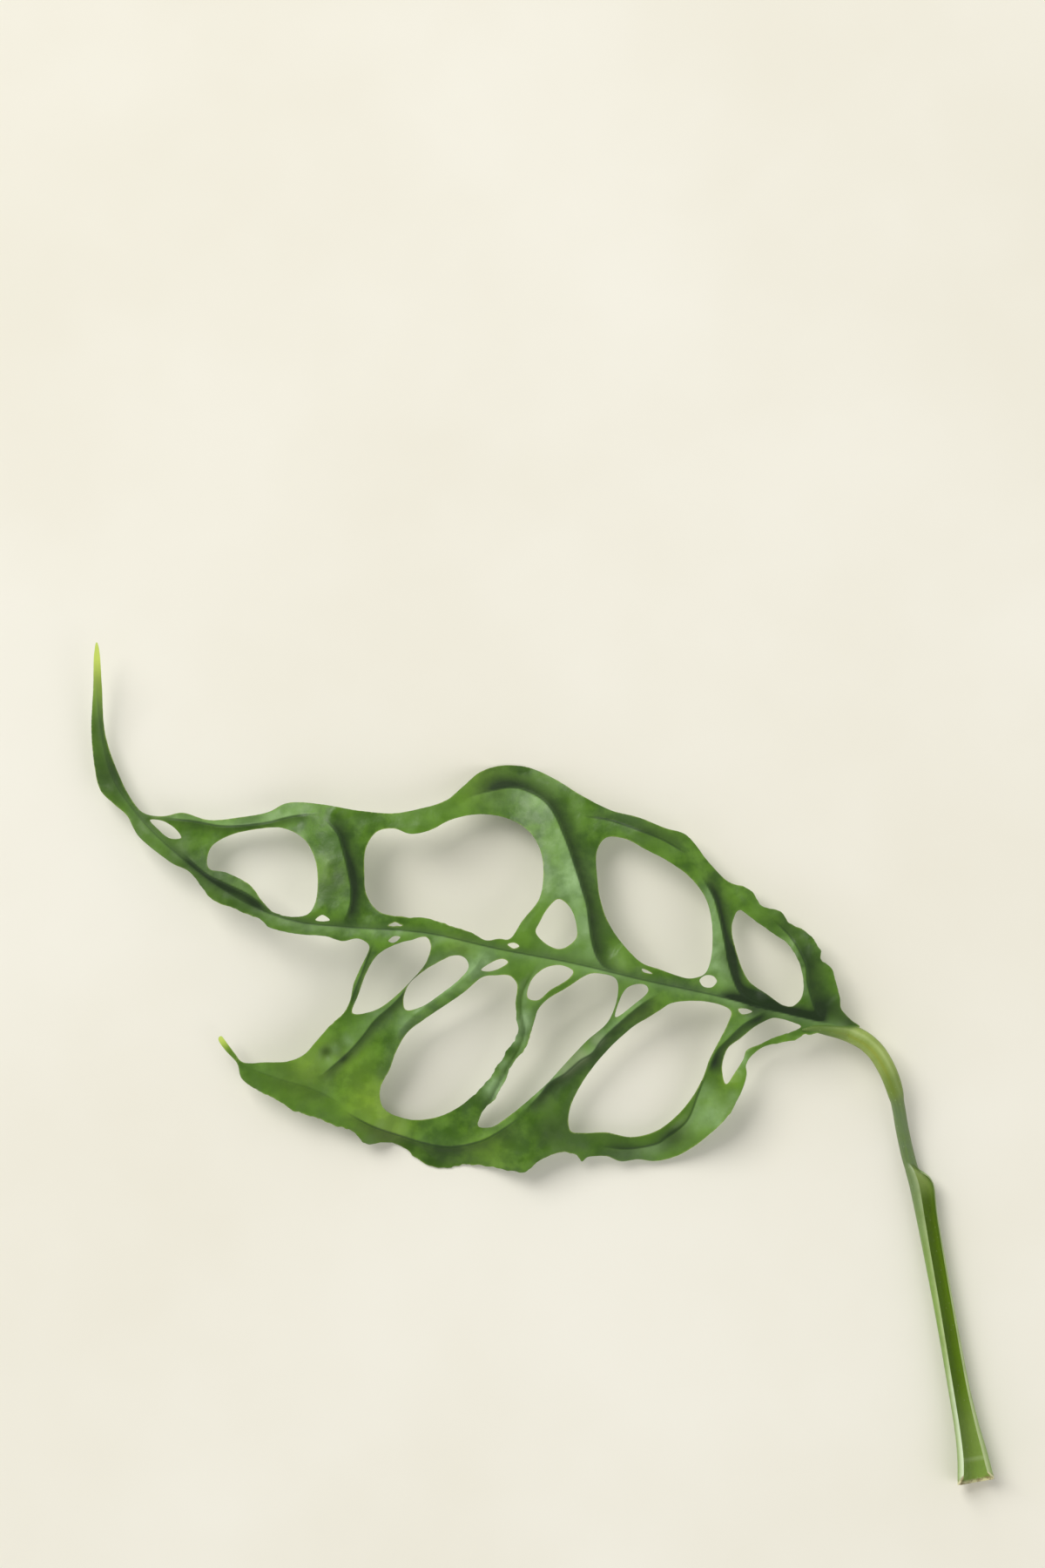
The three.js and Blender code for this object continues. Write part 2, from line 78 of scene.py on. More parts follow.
bladeHoles = {
    "tipGap": [(-141.6, 41.2), (-139, 41), (-136.6, 39.6), (-135.2, 37.6), (-137.6, 37.5), (-139.8, 39.2)],
    "farFirst": [
        (-129.4, 31.4), (-125.5, 30.4), (-121, 28), (-118.2, 24.4), (-115.6, 22.2), (-112, 21.5),
        (-108.8, 22.2), (-107.3, 25), (-107, 29.5), (-107.7, 33.6), (-110, 37.4), (-114.5, 39.6),
        (-120, 39.3), (-125.4, 38), (-129.2, 35.4),
    ],
    "farPore": [(-107.4, 20.9), (-106, 21.9), (-104.5, 20.9), (-106, 20.6)],
    "farSecond": [
        (-97, 26), (-97.5, 31), (-97.2, 35.5), (-95, 38.8), (-91.6, 39.5), (-88, 38.4), (-84, 39.2),
        (-79.5, 41.4), (-74, 42.4), (-68.5, 41.6), (-64, 39), (-61.4, 34.6), (-61, 29), (-62, 24.8),
        (-65.2, 20.8), (-67.6, 17.2), (-70, 17.1), (-72.8, 16.8), (-75.6, 18.3), (-80, 19.8),
        (-85, 21.3), (-90, 21.6), (-94.4, 22.6),
    ],
    "farPear": [
        (-58, 25.1), (-60.1, 23.2), (-61.6, 20.6), (-62.5, 18.4), (-60.6, 16.2), (-58, 15),
        (-55.8, 15.7), (-54.1, 17.7), (-54.6, 21.5), (-56, 24),
    ],
    "farThird": [
        (-41, 12.2), (-37.5, 10.9), (-34, 9.6), (-31, 8.9), (-28, 9.8), (-26.7, 12.8), (-26.3, 17),
        (-26.6, 21.4), (-27.9, 25.6), (-31, 29.6), (-35.4, 32.8), (-40, 35.2), (-44, 37.3),
        (-48, 37.6), (-50, 34.6), (-49.9, 29.4), (-49.2, 24.6), (-47.5, 20), (-44.8, 16),
    ],
    "farRound": [(-29, 8.5), (-27.8, 9.5), (-26.2, 9.3), (-25.5, 8.2), (-26.6, 7), (-28.2, 7.2)],
    "farBasal": [
        (-20.6, 22.7), (-21.9, 21), (-22.3, 18.4), (-21.6, 15), (-20.3, 11), (-18.6, 8), (-15, 5.5),
        (-12, 3.4), (-9.8, 3.2), (-8, 5.2), (-7.7, 8.6), (-8.7, 12.4), (-11, 16), (-14.6, 18.5),
        (-17.8, 20.8),
    ],
    "nearFirst": [
        (-99.9, 1.8), (-98.7, 5.6), (-97, 10.2), (-94.8, 13.7), (-91.4, 15.8), (-88, 16.8), (-85, 17.4),
        (-83.9, 15.6), (-85, 12), (-88, 8.4), (-91.6, 4.9), (-95.4, 2.4),
    ],
    "nearPore": [(-92.5, 16.7), (-91.3, 17.6), (-90.1, 17.4), (-91.4, 16.3)],
    "nearSecond": [
        (-88.9, 2.4), (-89.5, 4.6), (-88.4, 7.7), (-85.6, 10.3), (-82.2, 12.4), (-79, 13.7),
        (-76.8, 13), (-76.3, 10.9), (-78.7, 8.2), (-82.2, 5.5), (-85.6, 3.2),
    ],
    "nearGreat": [
        (-73.6, 9.1), (-70.6, 9.6), (-67.8, 9.5), (-66.3, 7.6), (-66.6, 4), (-66.4, 1), (-66.3, -2.4),
        (-68.2, -5.7), (-70.3, -8.9), (-72.2, -12), (-75.2, -15.2), (-78.8, -18), (-83, -19.9),
        (-87.6, -20.5), (-91.4, -19.5), (-94, -17.4), (-94.3, -13.6), (-92.4, -9.8), (-91, -6),
        (-88.8, -2.3), (-85.4, 0.4), (-81, 3.4), (-77, 6.2),
    ],
    "nearSlit": [(-73.6, 10.8), (-71.6, 12.2), (-69.4, 13), (-68.2, 12.2), (-70.2, 10.9), (-72.2, 10.4)],
    "nearLoop": [
        (-64.2, 5.2), (-63.4, 8.6), (-60.8, 11), (-57.6, 11.7), (-54.9, 10.5), (-56.2, 8.6),
        (-59.4, 6.7), (-62, 4.6),
    ],
    "nearLong": [
        (-52, 9.7), (-49, 9.9), (-46.2, 8.9), (-45.7, 6.2), (-46.6, 2.4), (-48.2, -0.5), (-52, -3.8),
        (-56, -8), (-60, -12.4), (-64, -16.1), (-68, -19.5), (-71.4, -21.7), (-74.3, -21.6),
        (-73.2, -18.4), (-70.6, -15.4), (-69, -12.2), (-67.4, -8.9), (-65, -6), (-63.4, -2),
        (-62.2, 2.2), (-60, 4.8), (-56, 7.2),
    ],
    "nearBridge": [(-45, 5.4), (-43.2, 7.4), (-40.4, 7.7), (-39.6, 6.2), (-42.2, 3.8), (-46.2, 1)],
    "nearWide": [
        (-37.4, 2.2), (-34.6, 3.9), (-30, 4.3), (-25.6, 3.7), (-22.6, 2.2), (-23.2, -0.4), (-25, -4),
        (-26.9, -7.8), (-28.4, -12), (-30.6, -16), (-33.8, -19.8), (-38, -22.8), (-43, -23.9),
        (-48, -22.9), (-52.4, -23), (-55.4, -22.4), (-55.6, -18.4), (-53.8, -14), (-50.8, -9.4),
        (-47, -5), (-42.8, -1.2), (-39.6, 0.8),
    ],
    "nearChink": [(-21, 2.6), (-19.3, 2.6), (-18.2, 2), (-20.2, 1.5)],
    "nearBasal": [
        (-14, 0.7), (-11, 0.2), (-8.2, -1), (-9.8, -1.9), (-13.2, -3.1), (-16.4, -4.6), (-19.2, -5.8),
        (-20.1, -8), (-22, -11), (-23.6, -12.8), (-24.3, -9.4), (-23.2, -5.6), (-20.4, -3.3),
        (-17.4, -0.9),
    ],
    # pores beside the midrib
    "poreTip": [(-92.5, 19.8), (-91.2, 20.4), (-89.6, 19.9), (-91, 19.6)],
    "poreMiddle": [(-68.2, 15.9), (-67, 16.3), (-65.9, 15.6), (-67, 15.1)],
    "poreBase": [(-40.8, 10.9), (-39.8, 10.6), (-38.7, 9.9), (-40.4, 10.2)],
}

# Veins that fold the blade. Each side of a path, left and right as one follows it, has
# (drop, width of the drop, strength of the painted shade, strength of the painted sheen, width of that
# painted light). An optional crease strength makes the crease's painted shade line, and its groove,
# fainter.
veinFolds = {
    "midrib": {
        "path": [(1, -1), (-10, 1.4), (-25, 5.2), (-40, 8.5), (-55, 12.1), (-70, 15), (-85, 18.3),
                 (-100, 19.4), (-112, 20.7), (-123, 25), (-134, 32.6), (-143.5, 41.5), (-149.8, 51),
                 (-152.2, 64), (-152.3, 76)],
        "left": (-0.6, 1.6, 0.0, 0.12, 2.5), "right": (-1.0, 1.8, 0.5, 0.0, 1.3),
    },
    "midribShadow": {
        "path": [(-2, -0.6), (-10, 1.4), (-18, 3.4), (-26, 5.4)],
        "left": (0, 1, 0.0, 0.0, 1), "right": (-0.4, 1.6, 1.0, 0.0, 2.2),
    },
    "nearStrut": {
        "path": [(-84.3, 16.5), (-84.5, 14), (-86.5, 11), (-89.1, 6.4), (-92, 3.2), (-95.2, 0.4),
                 (-98, -3.2), (-100.9, -6.4), (-105.2, -10.2), (-107.7, -12.1)],
        "left": (1.3, 1.5, 0.75, 0.0, 1.4), "right": (0.5, 2.0, 0.0, 0.25, 3.0),
    },
    "lobe": {
        "path": [(-122, -9.4), (-115.2, -11.8), (-108, -14), (-102, -17.2)],
        "left": (0.3, 2.8, 0.0, 0.1, 3.0), "right": (0.5, 2.4, 0.15, 0.0, 3.0), "creaseShade": 0.25,
    },
    "nearBand": {
        "path": [(-102.7, -17.9), (-97.3, -21), (-92, -23.2), (-85.9, -25.2), (-80.2, -26),
                 (-74.5, -25), (-70.2, -22.9), (-64, -18.4)],
        "left": (0.6, 2.6, 0.0, 0.1, 2.0), "right": (1.1, 1.4, 0.6, 0.0, 2.8),
    },
    "nearSecondStrut": {
        "path": [(-66, -19.5), (-62, -15.5), (-59.6, -12.5), (-56.6, -10.7), (-53.4, -7.9),
                 (-50.9, -6.4), (-49.1, -3.9), (-46, -0.8), (-41, 3.4), (-36.5, 6.2)],
        "left": (0.4, 1.2, 0.0, 0.6, 1.8), "right": (1.7, 1.4, 0.85, 0.0, 1.8),
    },
    "basalStrut": {
        "path": [(-15, 2.2), (-17, 1), (-20, -0.7), (-23, -3.6), (-25.5, -6.4), (-27.2, -11)],
        "left": (1.3, 1.2, 0.8, 0.0, 1.6), "right": (0.5, 1.6, 0.0, 0.15, 2.0),
    },
    "basalBand": {
        "path": [(-27, -10), (-28.6, -13.4), (-30.9, -19.6), (-33, -22.1), (-35.5, -23.9), (-38, -25.4),
                 (-43.75, -26.25), (-50, -25.6)],
        "left": (0.8, 1.4, 0.0, 0.5, 3.2), "right": (0.7, 1.2, 0.45, 0.0, 1.2),
    },
    "farStrutTip": {
        "path": [(-102, 19.8), (-100.5, 23), (-100, 26.4), (-100.4, 29.3), (-101.1, 32.5),
                 (-102, 35.7), (-103, 38.6), (-106, 42)],
        "left": (0.5, 2.4, 0.0, 0.1, 3.0), "right": (1.6, 1.3, 1.05, 0.0, 2.6),
    },
    "farStrutMiddle": {
        "path": [(-44, 9.6), (-48, 11.1), (-49.5, 12.5), (-50.5, 14.6), (-51.25, 17.9), (-52, 23.6),
                 (-53, 27.1), (-54.1, 30.7), (-56.6, 37.9), (-60, 44.5), (-66, 47.8), (-72.3, 47.1),
                 (-78, 45.4)],
        "left": (0.6, 3.0, 0.0, 0.45, 4.0), "right": (1.9, 1.4, 0.95, 0.0, 3.2),
    },
    "farStrutBase": {
        "path": [(-14, 2.9), (-18.75, 4.6), (-20.9, 6.4), (-22, 8.6), (-22.9, 11.8), (-23.6, 15.4),
                 (-24.3, 18.9), (-25.2, 22.9), (-26.25, 26.1), (-29, 30.5)],
        "left": (0.5, 2.0, 0.0, 0.45, 3.0), "right": (1.8, 1.2, 1.25, 0.0, 1.9),
    },
    "basalLobe": {
        "path": [(-3, 0.2), (-5.2, 2.5), (-6.3, 5.7), (-6.9, 8.5), (-7.3, 12), (-10, 17), (-14, 21)],
        "left": (0.5, 1.4, 0.0, 0.15, 1.6), "right": (0.8, 1.8, 0.6, 0.0, 3.0),
    },
    "nearPlainStrut": {
        "path": [(-61.5, 12.4), (-63.4, 9.6), (-65.2, 6), (-65.4, 2), (-64.8, -2), (-66.2, -6),
                 (-68.6, -10), (-70.6, -14), (-73, -18.5), (-75.5, -21.5)],
        "left": (0.5, 1.0, 0.1, 0.35, 1.4), "right": (1.0, 1.0, 0.6, 0.0, 1.3), "creaseShade": 0.3,
    },
    "nearTipStrut": {
        "path": [(-72.5, 14.8), (-75, 10.8), (-78, 8), (-82, 5), (-86, 2.2), (-89, -0.5), (-91.5, -4)],
        "left": (0.6, 1.2, 0.15, 0.3, 1.3), "right": (0.4, 1.5, 0.0, 0.6, 2.2), "creaseShade": 0.2,
    },
    "nearOuterStrut": {
        "path": [(-95.6, 16.4), (-97.4, 11.4), (-99.2, 6.8), (-100.6, 3)],
        "left": (0.6, 0.8, 0.4, 0.0, 0.8), "right": (0.2, 0.8, 0.0, 0.2, 0.8),
    },
    "farTipBand": {
        "path": [(-140, 41.6), (-133, 41), (-126, 39.9), (-118, 40.6), (-112, 42), (-106, 42.6)],
        "left": (0.6, 1.4, 0.0, 0.35, 2.0), "right": (0.9, 1.0, 0.55, 0.0, 1.6),
    },
    "tipRoll": {
        "path": [(-135, 34.4), (-130, 30.2), (-126, 28.2), (-121, 25.8), (-117, 22.4)],
        "left": (0.4, 1.0, 0.0, 0.25, 1.6), "right": (0.9, 0.9, 0.6, 0.0, 1.4),
    },
    "farBand": {
        "path": [(-53, 42), (-47.3, 41.2), (-41, 39), (-36.3, 37.1), (-31, 34)],
        "left": (1.1, 1.4, 0.6, 0.0, 1.8), "right": (0.5, 2.0, 0.0, 0.1, 2.0),
    },
}

bladeShape = {
    "spacing": 0.4,  # of the points on the blade
    "weld": 0.02,
    "plateMargin": 2,
    "cutterDepth": 5,
    "thickness": 0.38,
    "edgeThickness": 0.55,  # share of the thickness left at the margins
    "edgeTaper": 1.2,
    "clearance": 0.05,  # under the lowest parts
    "nearReach": 52,  # distance from the midrib at which each half has come down
    "farReach": 46,
    "dropPower": 1.6,
    "shareBlur": 1.5,
    # share of the midrib's length and height there
    "midribHeights": [(0, 7.2), (0.18, 10.5), (0.36, 13.6), (0.52, 13.4), (0.68, 9.6), (0.8, 5.8),
                      (0.9, 5), (1, 9)],
    # waves along each half: height, length, phase
    "farWaves": [(2.6, 58, 2.4), (0.9, 21, 0.4)],
    "nearWaves": [(2.4, 47, 0.2), (0.9, 19, 1.7)],
    # the midrib under the blade, at its base and at the tip
    "ribDepth": (1.9, 0.4),
    "ribHalfWidth": (1.7, 0.5),
    "ribTone": (1.3, 0.5),
    "veinDepth": 0.45,
    # folds: share of a path over which it starts and ends, width of its crest, how far its drop reaches
    "foldRamp": 0.16,
    "foldSwitch": 0.35,
    "foldRound": 0.3,
    "foldReach": 9,
    "foldRidge": 0.6,
    # distances from a vein over which the painted shade line in its crease fades out
    "foldTone": (1.3, 0.8),
    # small relief: height, size, seed
    "puckers": [(0.55, 7, 3.1), (0.22, 2.6, 8.7)],
    "puckerTaper": 2.5,
    "curls": [(0.55, 13, 5.3)],
    "curlDown": 0.25,
    "curlWidth": 1.3,
    "crimps": [(0.8, 1.9, 14.6)],
    "crimpWidth": 0.9,
    "crimpEverywhere": 0.1,
    "crimpShift": 0.34,
    "wanderX": [(1, 1.5, 21.3), (0.5, 0.7, 2.2)],
    "wanderY": [(1, 1.5, 35.9), (0.5, 0.7, 6.4)],
    "sharpAngle": 55,
}

# Places where the blade has another tone than the rest: x, y, radius, strength. The paler spots are painted
# sheen and lit patches and the darker spots are painted shade; the yellower spots, the young tip, the
# rolled strips and the neck's tone are the blade's own colour.
bladeTones = {
    "warm": [(-96, -17, 5.5, 0.8), (-100, -8, 5, 0.25), (-110, -10, 6, 0.35), (-91, -22, 4, 0.3),
             (-72, -27, 5, 0.3), (-106, 30, 4, 0.2), (-152.4, 69, 6, 0.6), (-108, -8, 4, 0.45),
             (-93, -23, 3.4, 0.5), (-45.5, 12, 2.6, 0.25), (-78, 15.4, 3, 0.35), (-40, 1.6, 3, 0.3),
             (-126.5, -4, 2.6, 1.0), (-31, -24, 4, 0.2), (-24, -17, 4, 0.35), (-74, 49, 6, 0.3),
             (-22.5, -11, 2, 0.5)],
    "young": [(-152.4, 77, 6.5, 1.3), (-127, -3.6, 1.6, 0.9)],
    # painted sheen and lit patches
    "sheenAndPaleRib": [(-59, 13, 4, 0.15), (-56, 29, 5, 0.7), (-51, 20, 3, 0.15), (-25.5, -19, 3.0, 0.4),
             (-25.6, -19.8, 1.5, 0.5), (-22, -15.5, 1.4, 0.4), (-78, 10, 4, 0.35), (-84, 12, 3, 0.25),
             (-61, -11, 3, 0.25), (-113, 44, 4, 0.35), (-11, 20, 3, 0.1), (-28, 13, 3, 0.3),
             (-72, 12, 3, 0.3), (-66.3, -2.8, 1.6, 1.5), (-65.2, 0.6, 1.7, 1.3),
             (-68.8, -8.6, 1.2, 0.9), (-70.4, -13.8, 1.9, 2.6), (-46, 11.6, 2.6, 0.35),
             (-73.2, 12.4, 1.6, 0.6), (-108, -8, 4, 0.1), (-103.6, -5.6, 0.9, 0.5),
             (-100.9, -3.8, 1.2, 0.35), (-96.2, -24.2, 1.2, 0.7), (-25.2, 12.5, 3.4, 0.5),
             (-27, 20, 3, 0.35), (-63, 6, 2, 0.3), (-20.2, -7.6, 1.6, 0.8), (-58, 19, 3, 0.3)],
    # painted shade: darker spots in dents, by the joint and beside folds
    "paintedShade": [(-14, 1.4, 2.2, 0.3), (-9, 1, 2, 0.4), (-5, 0.8, 2.2, 0.35), (-0.5, 1.4, 2.8, 0.45),
             (2.4, -0.4, 2.2, 0.6), (-2.4, 3.2, 2.8, 0.55), (-4.5, 7, 3, 0.25), (-50, -18, 8, 0.35),
             (-58, -23, 6, 0.4), (-45, -26, 5, 0.4), (-37, -2, 4, 0.35), (-26, -9, 3.5, 0.45),
             (-6, 12, 4, 0.4), (-16, 4, 4, 0.5), (-18, 2.8, 2.4, 0.5), (-70, 47, 5, 0.35),
             (-46, 22, 4, 0.3), (-83, -29, 4, 0.3), (-103, -5, 2.5, 0.35), (-40, 39, 4, 0.3),
             (-34.5, -24, 3, 0.5), (-101, 30, 4, 0.3), (-104.5, 29, 3.5, 0.25), (-96, -25, 3, 0.3),
             (-149.5, 50, 6, 0.6), (-152.6, 61, 5, 0.35), (-13, 21, 4, 0.3), (-33, -23, 4, 0.2),
             (-23, 13.5, 2.4, 0.6), (-22.4, 10, 2, 0.3), (-60, -22, 3, 0.25), (-143, 40, 4, 0.35),
             (-136, 33, 4.5, 0.5), (-128, 27.5, 5, 0.45), (-120, 23.5, 5, 0.4), (-111, 20, 4, 0.3),
             (-103, 18.8, 3.5, 0.25), (-150.5, 54, 5, 0.2), (-114, -11.5, 4, 0.3),
             (-108.5, -12.5, 3.5, 0.3), (-105.4, -6.3, 1.2, 0.6), (-101.8, -7.7, 1, 0.25)],
    "rolled": [(-56.8, -9.6, 1.5, 0.8), (-55, -8.1, 1.5, 0.6), (-53.2, -6.7, 1.5, 0.8),
               (-49.9, -3.5, 1.4, 0.6)],
    "neck": [(0.6, -3, 1.4, 0.8), (-2.5, -2.8, 1.0, 0.6)],
}

# Places where a strip of the blade is rolled over a little: x, y, radius, rise per mm along x and y.
bladeTilts = [
    (-64.5, -1, 6, -0.25, 0.3), (-72, -17, 5, 0.2, 0.25), (-53, 28, 7, -0.12, 0.0),
    (-26, -20, 6, 0.28, -0.2), (-20.2, -7.6, 3, 0.3, 0.3), (-12, 20.5, 5, 0.1, 0.25),
    (-98, 6, 5, -0.25, 0.1), (-80, 11.5, 4, -0.2, 0.25), (-61, -10, 5, -0.25, 0.25),
    (-152.8, 62, 8, -0.35, 0),
]

# Small dents and humps: x, y, radius, height.
bladeDents = [
    (3.6, -0.9, 2.2, -1.9), (-105.4, -6.3, 1.4, -0.8), (-101.8, -7.7, 1.2, -0.6),
    (-103.5, -5.6, 1.1, 0.45), (-99.5, -10, 2.2, 0.3), (-97, -20.5, 2.0, -0.35), (-88, -27, 1.8, 0.3),
    (-78, -28, 2.2, -0.3), (-56, -25.4, 2.0, 0.3), (-115, 43.2, 1.6, 0.4), (-5.4, 14, 1.5, 0.3),
    (-3.6, 7, 1.6, -0.25), (-70, 49.8, 2.5, 0.4),
]

# Stretches of margin with a fine frill: x, y, radius, strength.
bladeFrills = [
    (-119, -15, 4, 0.6), (-111, -18.5, 5, 0.7), (-102, -22, 5, 0.9), (-95, -25.5, 5, 0.8),
    (-86, -29, 5, 0.6), (-78, -30, 4, 0.7), (-68, -30.5, 5, 0.7), (-56, -27.5, 4, 0.5),
    (-24, -20, 5, 0.4), (-13, 21.5, 5, 0.6), (-5, 14.5, 4, 0.9), (-2.5, 8, 3, 0.7), (-17, 26, 4, 0.5),
    (-104, -0.5, 3, 0.4), (-66, -5, 6, 0.9), (-70.5, -14, 6, 0.8), (-128, 26, 6, 0.5),
    (-118, 20.5, 6, 0.5), (-80, 20, 6, 0.5), (-90, 22, 4, 0.5), (-10, -3.8, 4, 0.6),
]


def splinePoint(points, i, t, closed):  # t of the way along span i of a Catmull-Rom curve
    count = len(points)
    if closed:
        before, start, end, after = (points[(i + k) % count] for k in (-1, 0, 1, 2))
    else:
        start, end = points[i], points[i + 1]
        before = points[i - 1] if i > 0 else 2 * start - end
        after = points[i + 2] if i + 2 < count else 2 * end - start
    return 0.5 * (2 * start + (end - before) * t + (2 * before - 5 * start + 4 * end - after) * t ** 2
                  + (3 * start - before - 3 * end + after) * t ** 3)


def smoothPath(points, perSpan, closed=False):
    given = [np.array(p, float) for p in points]
    spans = len(given) if closed else len(given) - 1
    path = [splinePoint(given, i, k / perSpan, closed) for i in range(spans) for k in range(perSpan)]
    if not closed:
        path.append(given[-1])
    return np.array(path)


def lengthsAlong(path):
    return np.concatenate([[0], np.cumsum(np.linalg.norm(path[1:] - path[:-1], axis=1))])


def nearestOnPath(points, path):
    # per point: distance to the path, share of the path's length, and whether it is on its left
    best = np.full(len(points), np.inf)
    share = np.zeros(len(points))
    left = np.zeros(len(points), bool)
    starts = lengthsAlong(path)
    for i, run in enumerate(path[1:] - path[:-1]):
        reach = points - path[i]
        along = np.clip(reach @ run / (run @ run), 0, 1)
        away = np.linalg.norm(reach - along[:, None] * run, axis=1)
        closer = away < best
        best[closer] = away[closer]
        share[closer] = (starts[i] + along[closer] * (starts[i + 1] - starts[i])) / starts[-1]
        left[closer] = (run[0] * reach[:, 1] - run[1] * reach[:, 0])[closer] > 0
    return best, share, left


def smoothStep(low, high, x):
    t = np.clip((x - low) / (high - low), 0, 1)
    return t * t * (3 - 2 * t)


def bell(x, width):
    return np.exp(-(x / width) ** 2)


def fromTo(pair, share):
    return pair[0] + share * (pair[1] - pair[0])


def profile(rows, x):  # smooth curve through (x, value) rows
    path = smoothPath(rows, 16)
    return np.interp(x, path[:, 0], path[:, 1])


def bumps(points, rows):  # sum of noises, each with its height, size and seed
    total = np.zeros(len(points))
    for height, size, seed in rows:
        total += height * np.array([noise.noise(Vector((x / size, y / size, seed))) for x, y in points])
    return total


def spots(points, rows):  # sum of soft round spots
    total = np.zeros(len(points))
    for x, y, radius, strength in rows:
        total += strength * bell(np.hypot(points[:, 0] - x, points[:, 1] - y), radius)
    return total


midribPath = smoothPath(midribPlan, 14)
midribLengths = lengthsAlong(midribPath)


def baseHeight(points):  # the blade's gently arched upper face, before its folds
    away, share, near = nearestOnPath(points, midribPath)
    # the share is averaged over the midrib's nearest stretch, so that its bends leave no creases
    total, weights = np.zeros(len(points)), np.zeros(len(points))
    for place, length in zip(midribPath[::2], midribLengths[::2]):
        weight = np.exp((away - np.linalg.norm(points - place, axis=1)) / bladeShape["shareBlur"])
        total += weight * length / midribLengths[-1]
        weights += weight
    share = total / weights
    out = away / np.where(near, bladeShape["nearReach"], bladeShape["farReach"])
    height = profile(bladeShape["midribHeights"], share) * (1 - out ** bladeShape["dropPower"])
    for waves, side in ((bladeShape["farWaves"], ~near), (bladeShape["nearWaves"], near)):
        for tall, long, phase in waves:
            height += side * tall * out * np.sin(2 * math.pi * share * midribLengths[-1] / long + phase)
    return height, away, share


def foldedHeight(points):  # relief of the folds along the veins, and the masks that the material reads
    made = {name: np.zeros(len(points))
            for name in ("relief", "paintedShade", "sheenAndPaleRib", "ridge", "midribNear", "foldNear")}
    for name in ("midrib", "fold"):  # signed distances, far away to begin with
        made[name] = np.full(len(points), 20.0)
    switch, crest, ramp = bladeShape["foldSwitch"], bladeShape["foldRound"], bladeShape["foldRamp"]
    for name, fold in veinFolds.items():
        off, along, left = nearestOnPath(points, smoothPath(fold["path"], 8))
        ends = smoothStep(0, ramp, along) * smoothStep(1, 1 - ramp, along)
        if name == "midrib":  # it starts at once and fades towards the tip
            ends = smoothStep(0, 0.05, along) * fromTo((0.35, 1), smoothStep(1, 0.5, along))
        signed = np.where(left, -off, off)
        rounded = np.sqrt(off ** 2 + crest ** 2) - crest
        for side, weight in (("left", smoothStep(switch, -switch, signed)),
                             ("right", smoothStep(-switch, switch, signed))):
            drop, width, paintedShade, sheenAndPaleRib, reach = fold[side]
            weight = weight * ends
            fall = drop * (1 - np.exp(-rounded / width)) * bell(off, bladeShape["foldReach"])
            made["relief"] -= weight * fall
            # painted shade on the fold's steep side and painted sheen on its other side
            made["paintedShade"] += weight * paintedShade * np.exp(-(off / reach) ** 1.5)
            made["sheenAndPaleRib"] += weight * sheenAndPaleRib * bell(off, reach)
        if name == "midribShadow":  # it has no line or ridge
            continue
        kind = "midrib" if name == "midrib" else "fold"
        if kind == "fold":
            made["ridge"] = np.maximum(made["ridge"], ends * bell(off, bladeShape["foldRidge"]))
        made[kind] = np.where(off < np.abs(made[kind]), signed, made[kind])
        # the dark line along each crease is painted shade; the same mask also deepens the groove's bump
        lined = fold.get("creaseShade", 1) * ends * smoothStep(*bladeShape["foldTone"], off)
        made[kind + "Near"] = np.maximum(made[kind + "Near"], lined)
    return made


def tilts(points):
    total = spots(points, bladeDents)
    for x, y, radius, slopeX, slopeY in bladeTilts:
        across, along = points[:, 0] - x, points[:, 1] - y
        total += (across * slopeX + along * slopeY) * bell(np.hypot(across, along), radius)
    return total


def makeObject(name, data):
    made = bpy.data.objects.new(name, data)
    bpy.context.scene.collection.objects.link(made)
    return made


def addOutline(curve, points):  # one closed outline in a curve's data
    spline = curve.splines.new("BEZIER")
    spline.bezier_points.add(len(points) - 1)
    spline.use_cyclic_u = True
    spline.resolution_u = 7
    for i, here in enumerate(points):
        reach = (Vector(points[(i + 1) % len(points)]) - Vector(points[i - 1])) / 6
        knot = spline.bezier_points[i]
        knot.handle_left_type = knot.handle_right_type = "FREE"
        knot.co = (*here, 0)
        knot.handle_left = (*(Vector(here) - reach), 0)
        knot.handle_right = (*(Vector(here) + reach), 0)


def makeCutter():  # a solid with the blade's outline and holes
    outline = bpy.data.curves.new("planOutline", "CURVE")
    outline.dimensions = "2D"
    outline.fill_mode = "BOTH"
    outline.extrude = bladeShape["cutterDepth"]
    for points in (bladeEdge, *bladeHoles.values()):
        addOutline(outline, points)
    flat = makeObject("planOutline", outline)
    mesh = bpy.data.meshes.new_from_object(flat.evaluated_get(bpy.context.evaluated_depsgraph_get()))
    bpy.data.objects.remove(flat)
    solid = bmesh.new()
    solid.from_mesh(mesh)
    bmesh.ops.remove_doubles(solid, verts=solid.verts, dist=1e-4)
    bmesh.ops.recalc_face_normals(solid, faces=solid.faces)
    solid.to_mesh(mesh)
    solid.free()
    return makeObject("planCutter", mesh)


